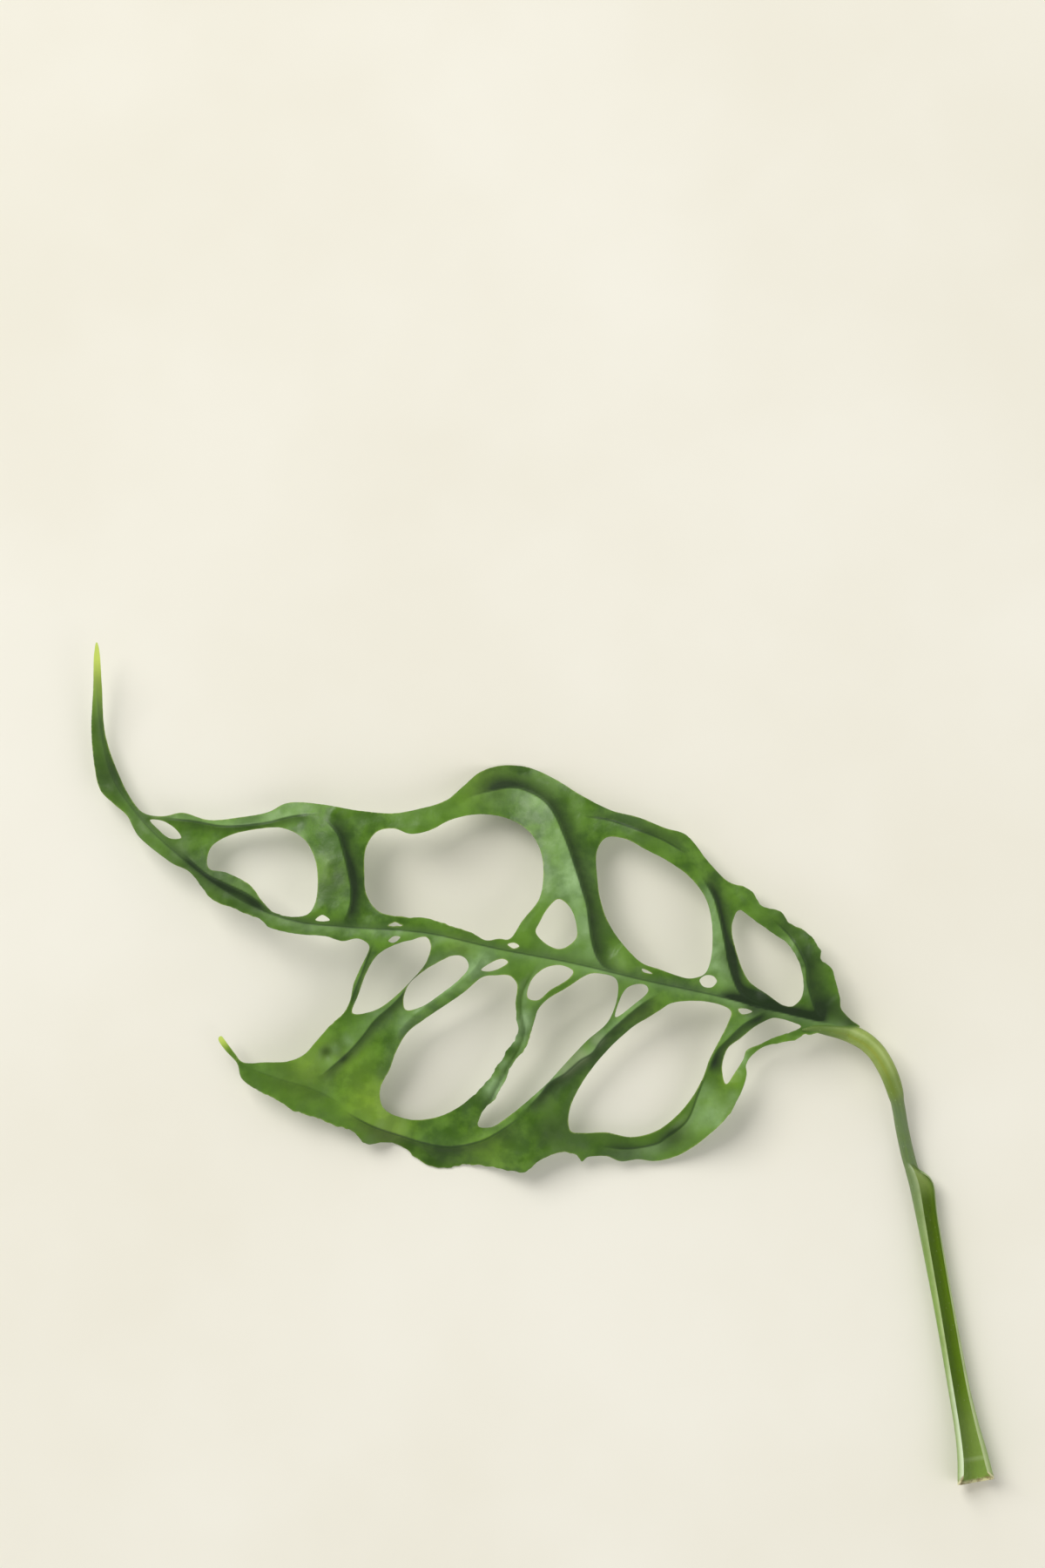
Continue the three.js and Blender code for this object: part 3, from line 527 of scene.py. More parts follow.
def cutPlate():  # the blade's plan as a flat plate of small faces, 1 mm thick
    edge = np.array(bladeEdge)
    low, high = edge.min(axis=0) - bladeShape["plateMargin"], edge.max(axis=0) + bladeShape["plateMargin"]
    size = high - low
    steps = [int(length / bladeShape["spacing"]) for length in size]
    plate = bmesh.new()
    bmesh.ops.create_grid(plate, x_segments=steps[0], y_segments=steps[1], size=0.5)
    bmesh.ops.scale(plate, verts=plate.verts, vec=(size[0], size[1], 1))
    bmesh.ops.translate(plate, verts=plate.verts, vec=(*((low + high) / 2), 0.5))
    raised = bmesh.ops.extrude_face_region(plate, geom=plate.faces[:])
    lower = [item for item in raised["geom"] if isinstance(item, bmesh.types.BMVert)]
    bmesh.ops.translate(plate, verts=lower, vec=(0, 0, -1))
    bmesh.ops.recalc_face_normals(plate, faces=plate.faces)
    mesh = bpy.data.meshes.new("blade")
    plate.to_mesh(mesh)
    plate.free()
    blade = makeObject("blade", mesh)
    cutter = makeCutter()
    trim = blade.modifiers.new("trim", "BOOLEAN")
    trim.operation = "INTERSECT"
    trim.solver = "EXACT"
    trim.object = cutter
    blade.data = bpy.data.meshes.new_from_object(blade.evaluated_get(bpy.context.evaluated_depsgraph_get()))
    blade.modifiers.clear()
    bpy.data.objects.remove(cutter)
    fine = bmesh.new()
    fine.from_mesh(blade.data)
    bmesh.ops.remove_doubles(fine, verts=fine.verts, dist=bladeShape["weld"])
    bmesh.ops.triangulate(fine, faces=[f for f in fine.faces if len(f.verts) > 4])
    fine.to_mesh(blade.data)
    fine.free()
    return blade


def distanceToEdge(plan):
    rimPoints = np.concatenate([smoothPath(p, 12, True) for p in (bladeEdge, *bladeHoles.values())])
    rim = kdtree.KDTree(len(rimPoints))
    for i, (x, y) in enumerate(rimPoints):
        rim.insert((x, y, 0), i)
    rim.balance()
    return np.array([rim.find((x, y, 0))[2] for x, y in plan])


def storeMask(mesh, name, values):
    layer = mesh.attributes.new(name, "FLOAT", "POINT")
    layer.data.foreach_set("value", np.asarray(values, np.float32))


def smoothFaces(mesh, sharpAngle):
    mesh.polygons.foreach_set("use_smooth", np.ones(len(mesh.polygons), bool))
    mesh.set_sharp_from_angle(angle=math.radians(sharpAngle))
    mesh.update()


def shapeBlade():
    blade = cutPlate()
    mesh = blade.data
    flat = np.empty(len(mesh.vertices) * 3)
    mesh.vertices.foreach_get("co", flat)
    flat = flat.reshape(-1, 3)
    plan, upper = flat[:, :2].copy(), flat[:, 2] > 0
    print("blade plate", len(plan), "points")

    edge = distanceToEdge(plan)
    crimp = bladeShape["crimpEverywhere"] + np.clip(spots(plan, bladeFrills), 0, 1)
    crimp *= np.exp(-edge / bladeShape["crimpWidth"])
    wander = np.column_stack([bumps(plan, bladeShape["wanderX"]), bumps(plan, bladeShape["wanderY"])])
    frilled = plan + wander * (bladeShape["crimpShift"] * crimp)[:, None]

    height, away, share = baseHeight(plan)
    folded = foldedHeight(plan)
    height += folded["relief"] + tilts(plan)
    height += bumps(plan, bladeShape["puckers"]) * smoothStep(0, bladeShape["puckerTaper"], edge)
    curl = bumps(plan, bladeShape["curls"]) - bladeShape["curlDown"]
    height += curl * np.exp(-edge / bladeShape["curlWidth"])
    height += crimp * bumps(plan, bladeShape["crimps"])
    ribOff = away / fromTo(bladeShape["ribHalfWidth"], share)
    rib = fromTo(bladeShape["ribDepth"], share) * np.sqrt(np.clip(1 - ribOff ** 2, 0, 1))
    taper = fromTo((bladeShape["edgeThickness"], 1), smoothStep(0, bladeShape["edgeTaper"], edge))
    thick = bladeShape["thickness"] * taper + np.maximum(rib, bladeShape["veinDepth"] * folded["ridge"])

    # the highest point and two sides go where the CAD blade has them
    low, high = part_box("leaf_blade")
    lift = high.z / mm - height[upper].max()
    shift = np.array([low.x / mm - frilled[:, 0].min(), high.y / mm - frilled[:, 1].max(), 0])
    top = np.maximum(height + lift, thick + bladeShape["clearance"])
    shaped = np.column_stack([frilled, np.where(upper, top, top - thick)]) + shift
    mesh.vertices.foreach_set("co", (shaped * mm).reshape(-1).astype(np.float32))

    masks = {name: folded[name] for name in ("fold", "foldNear", "midrib", "midribNear")}
    masks.update(edge=edge, share=share, under=~upper, rib=bell(away, fromTo(bladeShape["ribTone"], share)))
    for tone, rows in bladeTones.items():
        masks[tone] = spots(plan, rows) + folded.get(tone, 0)
    for name, values in masks.items():
        storeMask(mesh, name, values)
    smoothFaces(mesh, bladeShape["sharpAngle"])
    return blade, shift, lift


blade, planShift, planLift = shapeBlade()
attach(blade, "root")
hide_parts("leaf_blade")
print("blade shaped", [round(v, 2) for v in planShift], round(planLift, 2))

stalkShape = {
    "stations": 300,
    "around": 80,
    # plan of the wedge that starts inside the blade, its radii and how far it stands proud there
    "wedge": [(-8, -1.7), (-5.4, -1.5), (-2.8, -1.7), (-0.4, -2)],
    "wedgeRadii": (0.12, 0.6, 1.0, 1.4),
    "wedgeRise": 0.2,
    # plan and height of the centre, from the joint down
    "path": [(1.8, -2.5, 5.3), (4.5, -3.8, 5.75), (6.4, -5.3, 5.95), (8, -7.2, 5.9), (9.8, -10.4, 5.5),
             (11.1, -13.8, 4.7), (12, -17.5, 3.9), (12.9, -22.5, 3.1), (13.9, -27, 2.6),
             (15.4, -33, 2.3), (17.4, -43, 2.3), (19.6, -54, 2.3), (21.9, -65, 2.3), (24, -75.5, 2.4),
             (26, -85, 2.6), (27.8, -95, 3)],
    # share of the length below the joint: half width, half height, wing, how open, roll, set to the right
    "sizes": [(-0.11, 0.12, 0.12, 0, 0, 0, 0), (-0.08, 0.7, 0.5, 0, 0, 0, 0),
              (-0.05, 1.25, 0.9, 0, 0, 0, 0), (-0.02, 1.65, 1.3, 0, 0, 0, 0),
              (0, 1.88, 1.65, 0, 0, 0, 0), (0.05, 1.9, 1.85, 0, 0, 0, 0), (0.1, 1.86, 1.85, 0, 0, 0, 0),
              (0.14, 1.78, 1.8, 0, 0, 0, 0), (0.17, 1.62, 1.65, 0, 0, 10, 0),
              (0.185, 1.4, 1.45, 0, 0, 20, 0), (0.2, 1.35, 1.4, 0, 0, 24, 0),
              (0.25, 1.34, 1.4, 0, 0, 26, 0), (0.3, 1.36, 1.4, 0, 0, 26, 0),
              (0.315, 1.42, 1.42, 0, 0, 26, 0.05), (0.325, 1.9, 1.5, 0.6, 0.8, 26, 0.5),
              (0.34, 2.35, 1.6, 1.0, 1, 26, 0.9), (0.37, 2.5, 1.7, 1.15, 1, 25, 1.15),
              (0.43, 2.2, 1.72, 1.0, 1, 22, 1.0), (0.5, 2.08, 1.75, 0.95, 1, 17, 0.95),
              (0.6, 2.02, 1.78, 0.95, 1, 12, 0.85), (0.7, 2.08, 1.8, 0.95, 1, 8, 0.65),
              (0.8, 2.2, 1.85, 1.05, 1, 5, 0.5), (0.88, 2.55, 1.95, 1.3, 1, 2, 0.45),
              (0.94, 3.1, 2.2, 1.7, 1, 0, 0.5), (1, 3.85, 2.5, 2.2, 1, 0, 0.25)],
    # section: share of its outline outside the channel, angle of the wing tips, where a wing starts
    "outer": 0.56,
    "tipAngle": 48,
    "wingFrom": 0.3,
    "wingCurve": 1.5,
    # wall at the wing tips and how much more it has at the middle of the channel
    "wall": 0.32,
    "wallSwell": 0.25,
    # channel, as shares of the half height: how deep, how high its middle, how much its lips rise
    "channelDepth": 0.35,
    "channelMiddle": 0.25,
    "channelLip": 0.33,
    # the sheath opens this much later on its right side
    "hoodLag": 0.024,
    "hoodAt": 0.345,
    "hoodReach": 0.035,
    # the upper corners of the cut are worn back
    "cornerBack": 2.4,
    "cornerFrom": 0.93,
    "sharpAngle": 60,
    # tones that run along it: how far round and how wide; the first is a painted highlight band, and the
    # left rim's tone below it is a painted highlight too
    "highlightAt": (0.66, 0.07),
    "oliveAt": (0.86, 0.06),
    "wingEdge": 0.036,
    "leftRimHighlight": 0.05,
    "bandWidth": (0.04, 0.12),
    "masks": ("inside", "share", "roundX", "roundY", "paintedHighlight", "olive", "wingEdge", "leftRimHighlight", "rightBand",
              "bladeTissue"),
}


def stalkFrame():  # per station: share of the length below the joint, centre, and the three directions
    wedge = np.array(stalkShape["wedge"])
    tops = baseHeight(wedge)[0] + foldedHeight(wedge)["relief"] + stalkShape["wedgeRise"]
    start = [(x, y, top - radius) for (x, y), top, radius in zip(wedge, tops, stalkShape["wedgeRadii"])]
    path = smoothPath(start + stalkShape["path"], 20)
    lengths = lengthsAlong(path)
    joint = lengths[np.abs(path - stalkShape["path"][0]).sum(axis=1).argmin()]
    share = (lengths - joint) / (lengths[-1] - joint)
    at = np.linspace(share[0], 1, stalkShape["stations"] + 1)
    centre = np.column_stack([np.interp(at, share, path[:, k]) for k in range(3)])
    ahead = np.gradient(centre, axis=0)
    ahead /= np.linalg.norm(ahead, axis=1)[:, None]
    left = np.cross(ahead, [0, 0, 1])
    left /= np.linalg.norm(left, axis=1)[:, None]
    return at, centre, ahead, left, np.cross(left, ahead)


def wingFlare(angle):  # 0 where a wing starts, 1 at its tip
    start = stalkShape["wingFrom"]
    tip = math.sin(math.radians(stalkShape["tipAngle"])) + start
    return (max(0.0, math.sin(angle) + start) / tip) ** stalkShape["wingCurve"]


def outerAngle(turn):
    tip = math.radians(stalkShape["tipAngle"])
    return tip - (math.pi + 2 * tip) * turn / stalkShape["outer"]


def rightness(turn):  # 0 on the left side, 1 on the right
    if turn <= stalkShape["outer"]:
        return 0.5 - 0.5 * math.cos(outerAngle(turn))
    return (1 - turn) / (1 - stalkShape["outer"])


def sectionPoint(turn, a, b, wing, openness):  # to the left, up, and how far inside the channel
    if turn <= stalkShape["outer"]:
        angle = outerAngle(turn)
        return a * math.cos(angle), b * math.sin(angle) + wing * wingFlare(angle), 0.0
    tip = math.radians(stalkShape["tipAngle"])
    across = 1 - rightness(turn)
    angle = math.pi - tip - (math.pi - 2 * tip) * across
    bow = (math.pi + 2 * tip) * across - math.pi - tip
    wall = stalkShape["wall"] + stalkShape["wallSwell"] * math.sin(math.pi * across)
    closed = (a * math.cos(angle), b * math.sin(angle))
    channelUp = b * (stalkShape["channelDepth"] * math.sin(bow) + stalkShape["channelMiddle"])
    channelUp += (wing + stalkShape["channelLip"] * b) * wingFlare(bow)
    channel = ((a - wall) * math.cos(bow), channelUp)
    inside = openness * min(1.0, 5 * across * (1 - across)) ** 1.5
    return fromTo((closed[0], channel[0]), openness), fromTo((closed[1], channel[1]), openness), inside


def stalkMasks(turn, share, openness, inside, x, y):
    outer = stalkShape["outer"]
    highlightAt, highlightWidth = stalkShape["highlightAt"]
    oliveAt, oliveWidth = stalkShape["oliveAt"]
    bandWidth = fromTo(stalkShape["bandWidth"], smoothStep(0.5, 0.95, share))
    rimStart = smoothStep(0.7, 0.84, share)
    bladeSide = smoothStep(-0.5, 0.6, y + 0.7 + 0.1 * (x + 5))  # the blade's base runs down over the neck
    return {
        "inside": inside,
        "share": share,
        "roundX": math.cos(2 * math.pi * turn),
        "roundY": math.sin(2 * math.pi * turn),
        # painted highlight band along the neck
        "paintedHighlight": bell(turn - highlightAt, highlightWidth),
        "olive": bell(turn - oliveAt, oliveWidth),
        "wingEdge": openness * bell(min(abs(turn - outer), turn, 1 - turn), stalkShape["wingEdge"]),
        # painted highlight along the left wing's rim
        "leftRimHighlight": openness * bell(min(turn, 1 - turn), stalkShape["leftRimHighlight"]) * rimStart,
        "rightBand": inside * smoothStep(bandWidth, bandWidth * 0.6, turn - outer),
        "bladeTissue": bladeSide * smoothStep(5.6, 2.4, x),
    }


def shapeStalk(shift, lift):
    at, centre, ahead, left, up = stalkFrame()
    stations = stalkShape["stations"]
    fineShares = np.linspace(at[0], 1, 3000)
    columns = [np.clip(profile([(row[0], row[k]) for row in stalkShape["sizes"]], fineShares), 0, None)
               for k in range(1, 7)]

    # a flat grid, rolled up round the centre line
    tube = bmesh.new()
    bmesh.ops.create_grid(tube, x_segments=stations, y_segments=stalkShape["around"], size=0.5)
    layers = {name: tube.verts.layers.float.new(name) for name in stalkShape["masks"]}
    for vert in tube.verts:
        i = min(stations, max(0, round((vert.co.x + 0.5) * stations)))
        turn = (vert.co.y + 0.5) % 1.0
        late = bell(at[i] - stalkShape["hoodAt"], stalkShape["hoodReach"])
        lag = stalkShape["hoodLag"] * rightness(turn) * late
        step = int((at[i] - lag - at[0]) / (1 - at[0]) * (len(fineShares) - 1))
        a, b, wing, openness, roll, aside = (column[step] for column in columns)
        u, v, inside = sectionPoint(turn, a, b, wing, openness)
        spin = math.radians(roll)
        u, v = u * math.cos(spin) - v * math.sin(spin) - aside, u * math.sin(spin) + v * math.cos(spin)
        worn = max(0.0, (at[i] - stalkShape["cornerFrom"]) / (1 - stalkShape["cornerFrom"]))
        back = stalkShape["cornerBack"] * worn ** 2 * max(0.0, v / (b + wing)) ** 2
        vert.co = Vector(centre[i] + left[i] * u + up[i] * v - ahead[i] * back)
        x, y = (centre[i] + left[i] * u)[:2]
        for name, value in stalkMasks(turn, at[i], openness, inside, x, y).items():
            vert[layers[name]] = float(value)
    bmesh.ops.translate(tube, verts=tube.verts, vec=(shift[0], shift[1], lift))
    bmesh.ops.scale(tube, verts=tube.verts, vec=(mm, mm, mm))
    bmesh.ops.remove_doubles(tube, verts=tube.verts, dist=1e-6)
    bmesh.ops.holes_fill(tube, edges=[e for e in tube.edges if e.is_boundary], sides=0)
    bmesh.ops.recalc_face_normals(tube, faces=tube.faces)
    mesh = bpy.data.meshes.new("stalk")
    tube.to_mesh(mesh)
    tube.free()
    smoothFaces(mesh, stalkShape["sharpAngle"])
    return makeObject("stalk", mesh)


stalk = shapeStalk(planShift, planLift)
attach(stalk, "root")
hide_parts("petiole")
print("stalk shaped")


def newTree(name):
    material = bpy.data.materials.new(name)
    material.use_nodes = True
    tree = material.node_tree
    tree.nodes.clear()
    return material, tree


def fill(tree, socket, value):  # a value, or the socket that feeds it
    if isinstance(value, bpy.types.NodeSocket):
        tree.links.new(value, socket)
    else:
        socket.default_value = value


def addNode(tree, kind, inputs=None, **settings):
    item = tree.nodes.new(kind)
    for key, value in settings.items():
        setattr(item, key, value)
    for key, value in (inputs or {}).items():
        fill(tree, item.inputs[key], value)
    return item


def mask(tree, name):
    return addNode(tree, "ShaderNodeAttribute", attribute_name=name).outputs["Fac"]


def mapRange(tree, value, low, high, start=0.0, end=1.0):
    return addNode(tree, "ShaderNodeMapRange", {"Value": value, "From Min": low, "From Max": high,
                   "To Min": start, "To Max": end}, interpolation_type="SMOOTHSTEP").outputs["Result"]


def arithmetic(tree, operation, first, second, clamp=False):
    return addNode(tree, "ShaderNodeMath", {0: first, 1: second}, operation=operation,
                   use_clamp=clamp).outputs[0]


def times(tree, first, second, clamp=False):
    return arithmetic(tree, "MULTIPLY", first, second, clamp)


def plus(tree, first, second):
    return arithmetic(tree, "ADD", first, second)


def mixColor(tree, factor, first, second):
    item = addNode(tree, "ShaderNodeMix", data_type="RGBA")
    for index, value in ((0, factor), (6, first), (7, second)):  # the color sockets of a Mix node
        fill(tree, item.inputs[index], value)
    return item.outputs[2]


def tint(tree, color, name, look):  # lays a tone of the look where the piece's own mask has it
    return mixColor(tree, times(tree, mask(tree, name), look["strength"][name], True), color, look[name])


def makeCloudPattern():
    group = bpy.data.node_groups.new("cloudPattern", "ShaderNodeTree")
    for name, start in (("Scale", 200.0), ("Detail", 3.0), ("Roughness", 0.55)):
        socket = group.interface.new_socket(name, in_out="INPUT", socket_type="NodeSocketFloat")
        socket.default_value = start
    group.interface.new_socket("Clouds", in_out="OUTPUT", socket_type="NodeSocketFloat")
    given = group.nodes.new("NodeGroupInput").outputs
    place = addNode(group, "ShaderNodeTexCoord").outputs["Object"]
    pattern = addNode(group, "ShaderNodeTexNoise", {"Vector": place, "Scale": given["Scale"],
                      "Detail": given["Detail"], "Roughness": given["Roughness"]})
    result = group.nodes.new("NodeGroupOutput")
    group.links.new(pattern.outputs["Fac"], result.inputs["Clouds"])
    return group


cloudPattern = makeCloudPattern()


def clouds(tree, scale, detail, rough=0.55):
    return addNode(tree, "ShaderNodeGroup", {"Scale": scale, "Detail": detail, "Roughness": rough},
                   node_tree=cloudPattern).outputs["Clouds"]


def patches(tree, scale, detail, low, high, start=0.0, end=1.0):
    return mapRange(tree, clouds(tree, scale, detail), low, high, start, end)


def srgb(r, g, b):
    def linear(c):
        c /= 255
        return c / 12.92 if c <= 0.04045 else ((c + 0.055) / 1.055) ** 2.4
    return (linear(r), linear(g), linear(b), 1)


bladeLook = {
    "deep": srgb(60, 96, 18),
    "middle": srgb(94, 134, 40),
    "warm": srgb(136, 172, 52),
    # pale colour of the painted sheen and lit sides, also used for the midrib's own paler tone
    "sheenAndPaleRib": srgb(154, 188, 130),
    # colour of the painted shade on the folds' steep sides, in dents and at the joint
    "paintedShade": srgb(22, 46, 2),
    "young": srgb(204, 222, 104),
    "rim": srgb(158, 182, 92),
    # colour of the painted shade in the creases
    "creaseShade": srgb(30, 54, 16),
    "neck": srgb(139, 163, 67),
    "under": srgb(126, 154, 92),
    "rolled": srgb(146, 164, 118),
    "strength": {"sheenAndPaleRib": 0.85, "paintedShade": 0.95, "rolled": 0.8, "fold": 0.6, "midrib": 0.5, "neck": 1.0,
                 "young": 0.95, "under": 0.8},
    # patches: scale, detail, range of the clouds, and what it becomes if that isn't 0 to 1
    "mottle": (210, 4, 0.36, 0.66),
    "broad": (50, 2, 0.4, 0.7, 0, 0.6),
    # speckle of the painted sheen
    "sheenSpeckle": (330, 3, 0.3, 0.65, 0.5, 1.0),
    "rimPatches": (90, 1, 0.4, 0.6, 0.2, 1.0),
    "roughness": (500, 3, 0.3, 0.7, 0.34, 0.5),
    # distance to a vein or the rim over which its line fades
    "foldLine": (0.06, 0.34),
    "midribLine": (0.04, 0.3),
    "rimLine": (0.05, 0.3, 0.6, 0.0),
    "ribTone": (0.02, 0.3, 0.3, 0.15),
    "darkRoughness": (0.1, 0.8, 0.0, 0.16),
    # relief: scale, detail and roughness of the grain, scale and detail of the ripples, and the depths
    "grain": (1500, 3, 0.6),
    "ripple": (330, 2),
    "rippleDepth": 1.6,
    "netScale": 1100.0,
    "netDepth": 0.5,
    "lineDepth": -2.0,
    "bump": 0.22,
    "specular": 0.34,
}
bumpDepth = 0.0002


def veinLine(tree, name, fade):  # 1 on a vein and 0 beside it
    beside = arithmetic(tree, "ABSOLUTE", mask(tree, name), 0.0)
    return times(tree, mapRange(tree, beside, *fade, 1.0, 0.0), mask(tree, name + "Near"))


def finishMaterial(tree, color, roughness, height, bump, **fixed):
    normal = addNode(tree, "ShaderNodeBump", {"Height": height, "Strength": bump, "Distance": bumpDepth})
    surface = addNode(tree, "ShaderNodeBsdfPrincipled", {"Base Color": color, "Roughness": roughness,
                      "Normal": normal.outputs["Normal"], **fixed})
    addNode(tree, "ShaderNodeOutputMaterial", {"Surface": surface.outputs["BSDF"]})


def bladeMaterial():
    material, tree = newTree("blade_green")
    strength = bladeLook["strength"]
    mottle = patches(tree, *bladeLook["mottle"])
    color = mixColor(tree, mottle, bladeLook["deep"], bladeLook["middle"])
    color = mixColor(tree, patches(tree, *bladeLook["broad"]), color, bladeLook["middle"])
    warm = times(tree, mask(tree, "warm"), mapRange(tree, mottle, 0, 1, 0.7, 1), True)
    color = mixColor(tree, warm, color, bladeLook["warm"])
    # painted sheen and lit tone, taken out again under the painted shade
    sheenAndPaleRib = times(tree, mask(tree, "sheenAndPaleRib"), patches(tree, *bladeLook["sheenSpeckle"]), True)
    sheenAndPaleRib = times(tree, sheenAndPaleRib, mapRange(tree, mask(tree, "paintedShade"), 0.0, 1.0, 1.0, 0.1))
    color = mixColor(tree, times(tree, sheenAndPaleRib, strength["sheenAndPaleRib"]), color, bladeLook["sheenAndPaleRib"])
    # the midrib's own paler tone, in the same pale colour as the painted sheen
    ribTone = times(tree, mask(tree, "rib"), mapRange(tree, mask(tree, "share"), *bladeLook["ribTone"]))
    color = mixColor(tree, ribTone, color, bladeLook["sheenAndPaleRib"])
    # painted shade
    color = tint(tree, color, "paintedShade", bladeLook)
    color = tint(tree, color, "rolled", bladeLook)
    # painted shade lines along the creases and the midrib
    foldLine = veinLine(tree, "fold", bladeLook["foldLine"])
    midribLine = veinLine(tree, "midrib", bladeLook["midribLine"])
    color = mixColor(tree, times(tree, foldLine, strength["fold"]), color, bladeLook["creaseShade"])
    color = mixColor(tree, times(tree, midribLine, strength["midrib"]), color, bladeLook["creaseShade"])
    rim = times(tree, mapRange(tree, mask(tree, "edge"), *bladeLook["rimLine"]),
                patches(tree, *bladeLook["rimPatches"]))
    color = mixColor(tree, rim, color, bladeLook["rim"])
    for name in ("neck", "young", "under"):
        color = tint(tree, color, name, bladeLook)
    roughness = plus(tree, patches(tree, *bladeLook["roughness"]),
                     mapRange(tree, mask(tree, "paintedShade"), *bladeLook["darkRoughness"]))
    place = addNode(tree, "ShaderNodeTexCoord").outputs["Object"]
    net = addNode(tree, "ShaderNodeTexVoronoi", {"Vector": place, "Scale": bladeLook["netScale"]},
                  feature="SMOOTH_F1")
    height = clouds(tree, *bladeLook["grain"])
    height = plus(tree, height, times(tree, net.outputs["Distance"], bladeLook["netDepth"]))
    height = plus(tree, height, times(tree, clouds(tree, *bladeLook["ripple"]), bladeLook["rippleDepth"]))
    height = plus(tree, height, times(tree, plus(tree, foldLine, midribLine), bladeLook["lineDepth"]))
    finishMaterial(tree, color, roughness, height, bladeLook["bump"],
                   **{"Specular IOR Level": bladeLook["specular"]})
    return material


stalkLook = {
    "neck": srgb(150, 170, 82),
    "neckShade": srgb(96, 122, 30),
    # colour of the painted highlight band on the neck
    "paintedHighlight": srgb(182, 200, 128),
    "olive": srgb(146, 152, 44),
    "joint": srgb(86, 116, 44),
    "stem": srgb(108, 132, 76),
    "stemShade": srgb(86, 104, 72),
    "sheath": srgb(122, 156, 62),
    "channel": srgb(112, 146, 14),
    "hood": srgb(198, 220, 130),
    "band": srgb(196, 216, 158),
    "edge": srgb(186, 204, 146),
    # colour of the painted highlight on the left rim
    "leftRimHighlight": srgb(212, 228, 196),
    "base": srgb(140, 168, 74),
    "cut": srgb(214, 208, 160),
    "scar": srgb(112, 84, 48),
    "strength": {"paintedHighlight": 0.6, "olive": 0.5, "leftRimHighlight": 0.85, "ring": 0.4, "fleck": 0.3, "scar": 0.7},
    # stretches: share of the length from and to, and the strengths there if they aren't 0 and 1
    "jointAt": (-0.07, 0.03, 0.9, 0.0),
    "neckShadeAt": (0.08, 0.15, 0.0, 0.7),
    "stemAt": (0.155, 0.2),
    "sheathAt": (0.32, 0.6),
    "hoodAt": (0.33, 0.42, 0.85, 0.0),
    "wingAt": (0.4, 0.85, 0.45, 0.95),
    "bandAt": (0.42, 0.62, 0.1, 0.85),
    "baseAt": (0.78, 0.9),
    "ringStart": (0.944, 0.951),
    "ringEnd": (0.951, 0.96, 1.0, 0.0),
    "footAt": (0.95, 0.965, 0.0, 0.4),
    "scarAt": (0.985, 0.996),
    "cutAt": (0.99, 0.998),
    # fibres: times round the stalk and along it, then the ranges they shade
    "fibreScale": (7.0, 9.0),
    "neckFibres": (0.35, 0.75, 0.0, 0.3),
    "stemFibres": (0.3, 0.7, 0.1, 0.7),
    "sheathFibres": (0.4, 0.75, 0.0, 0.5),
    "channelFibres": (0.35, 0.7, 0.0, 0.35),
    "roughness": (0.3, 0.7, 0.32, 0.5),
    "patches": (220, 3, 0.4, 0.7, 0.0, 0.3),
    "scarPatches": (700, 3, 0.45, 0.6),
    "fleckScale": 900.0,
    "fleckSize": (0.05, 0.16, 1.0, 0.0),
    "grain": (1400, 2),
    "fibreDepth": 1.2,
    "bump": 0.4,
    "specular": 0.4,
    "coat": 0.05,
    "coatRoughness": 0.25,
}


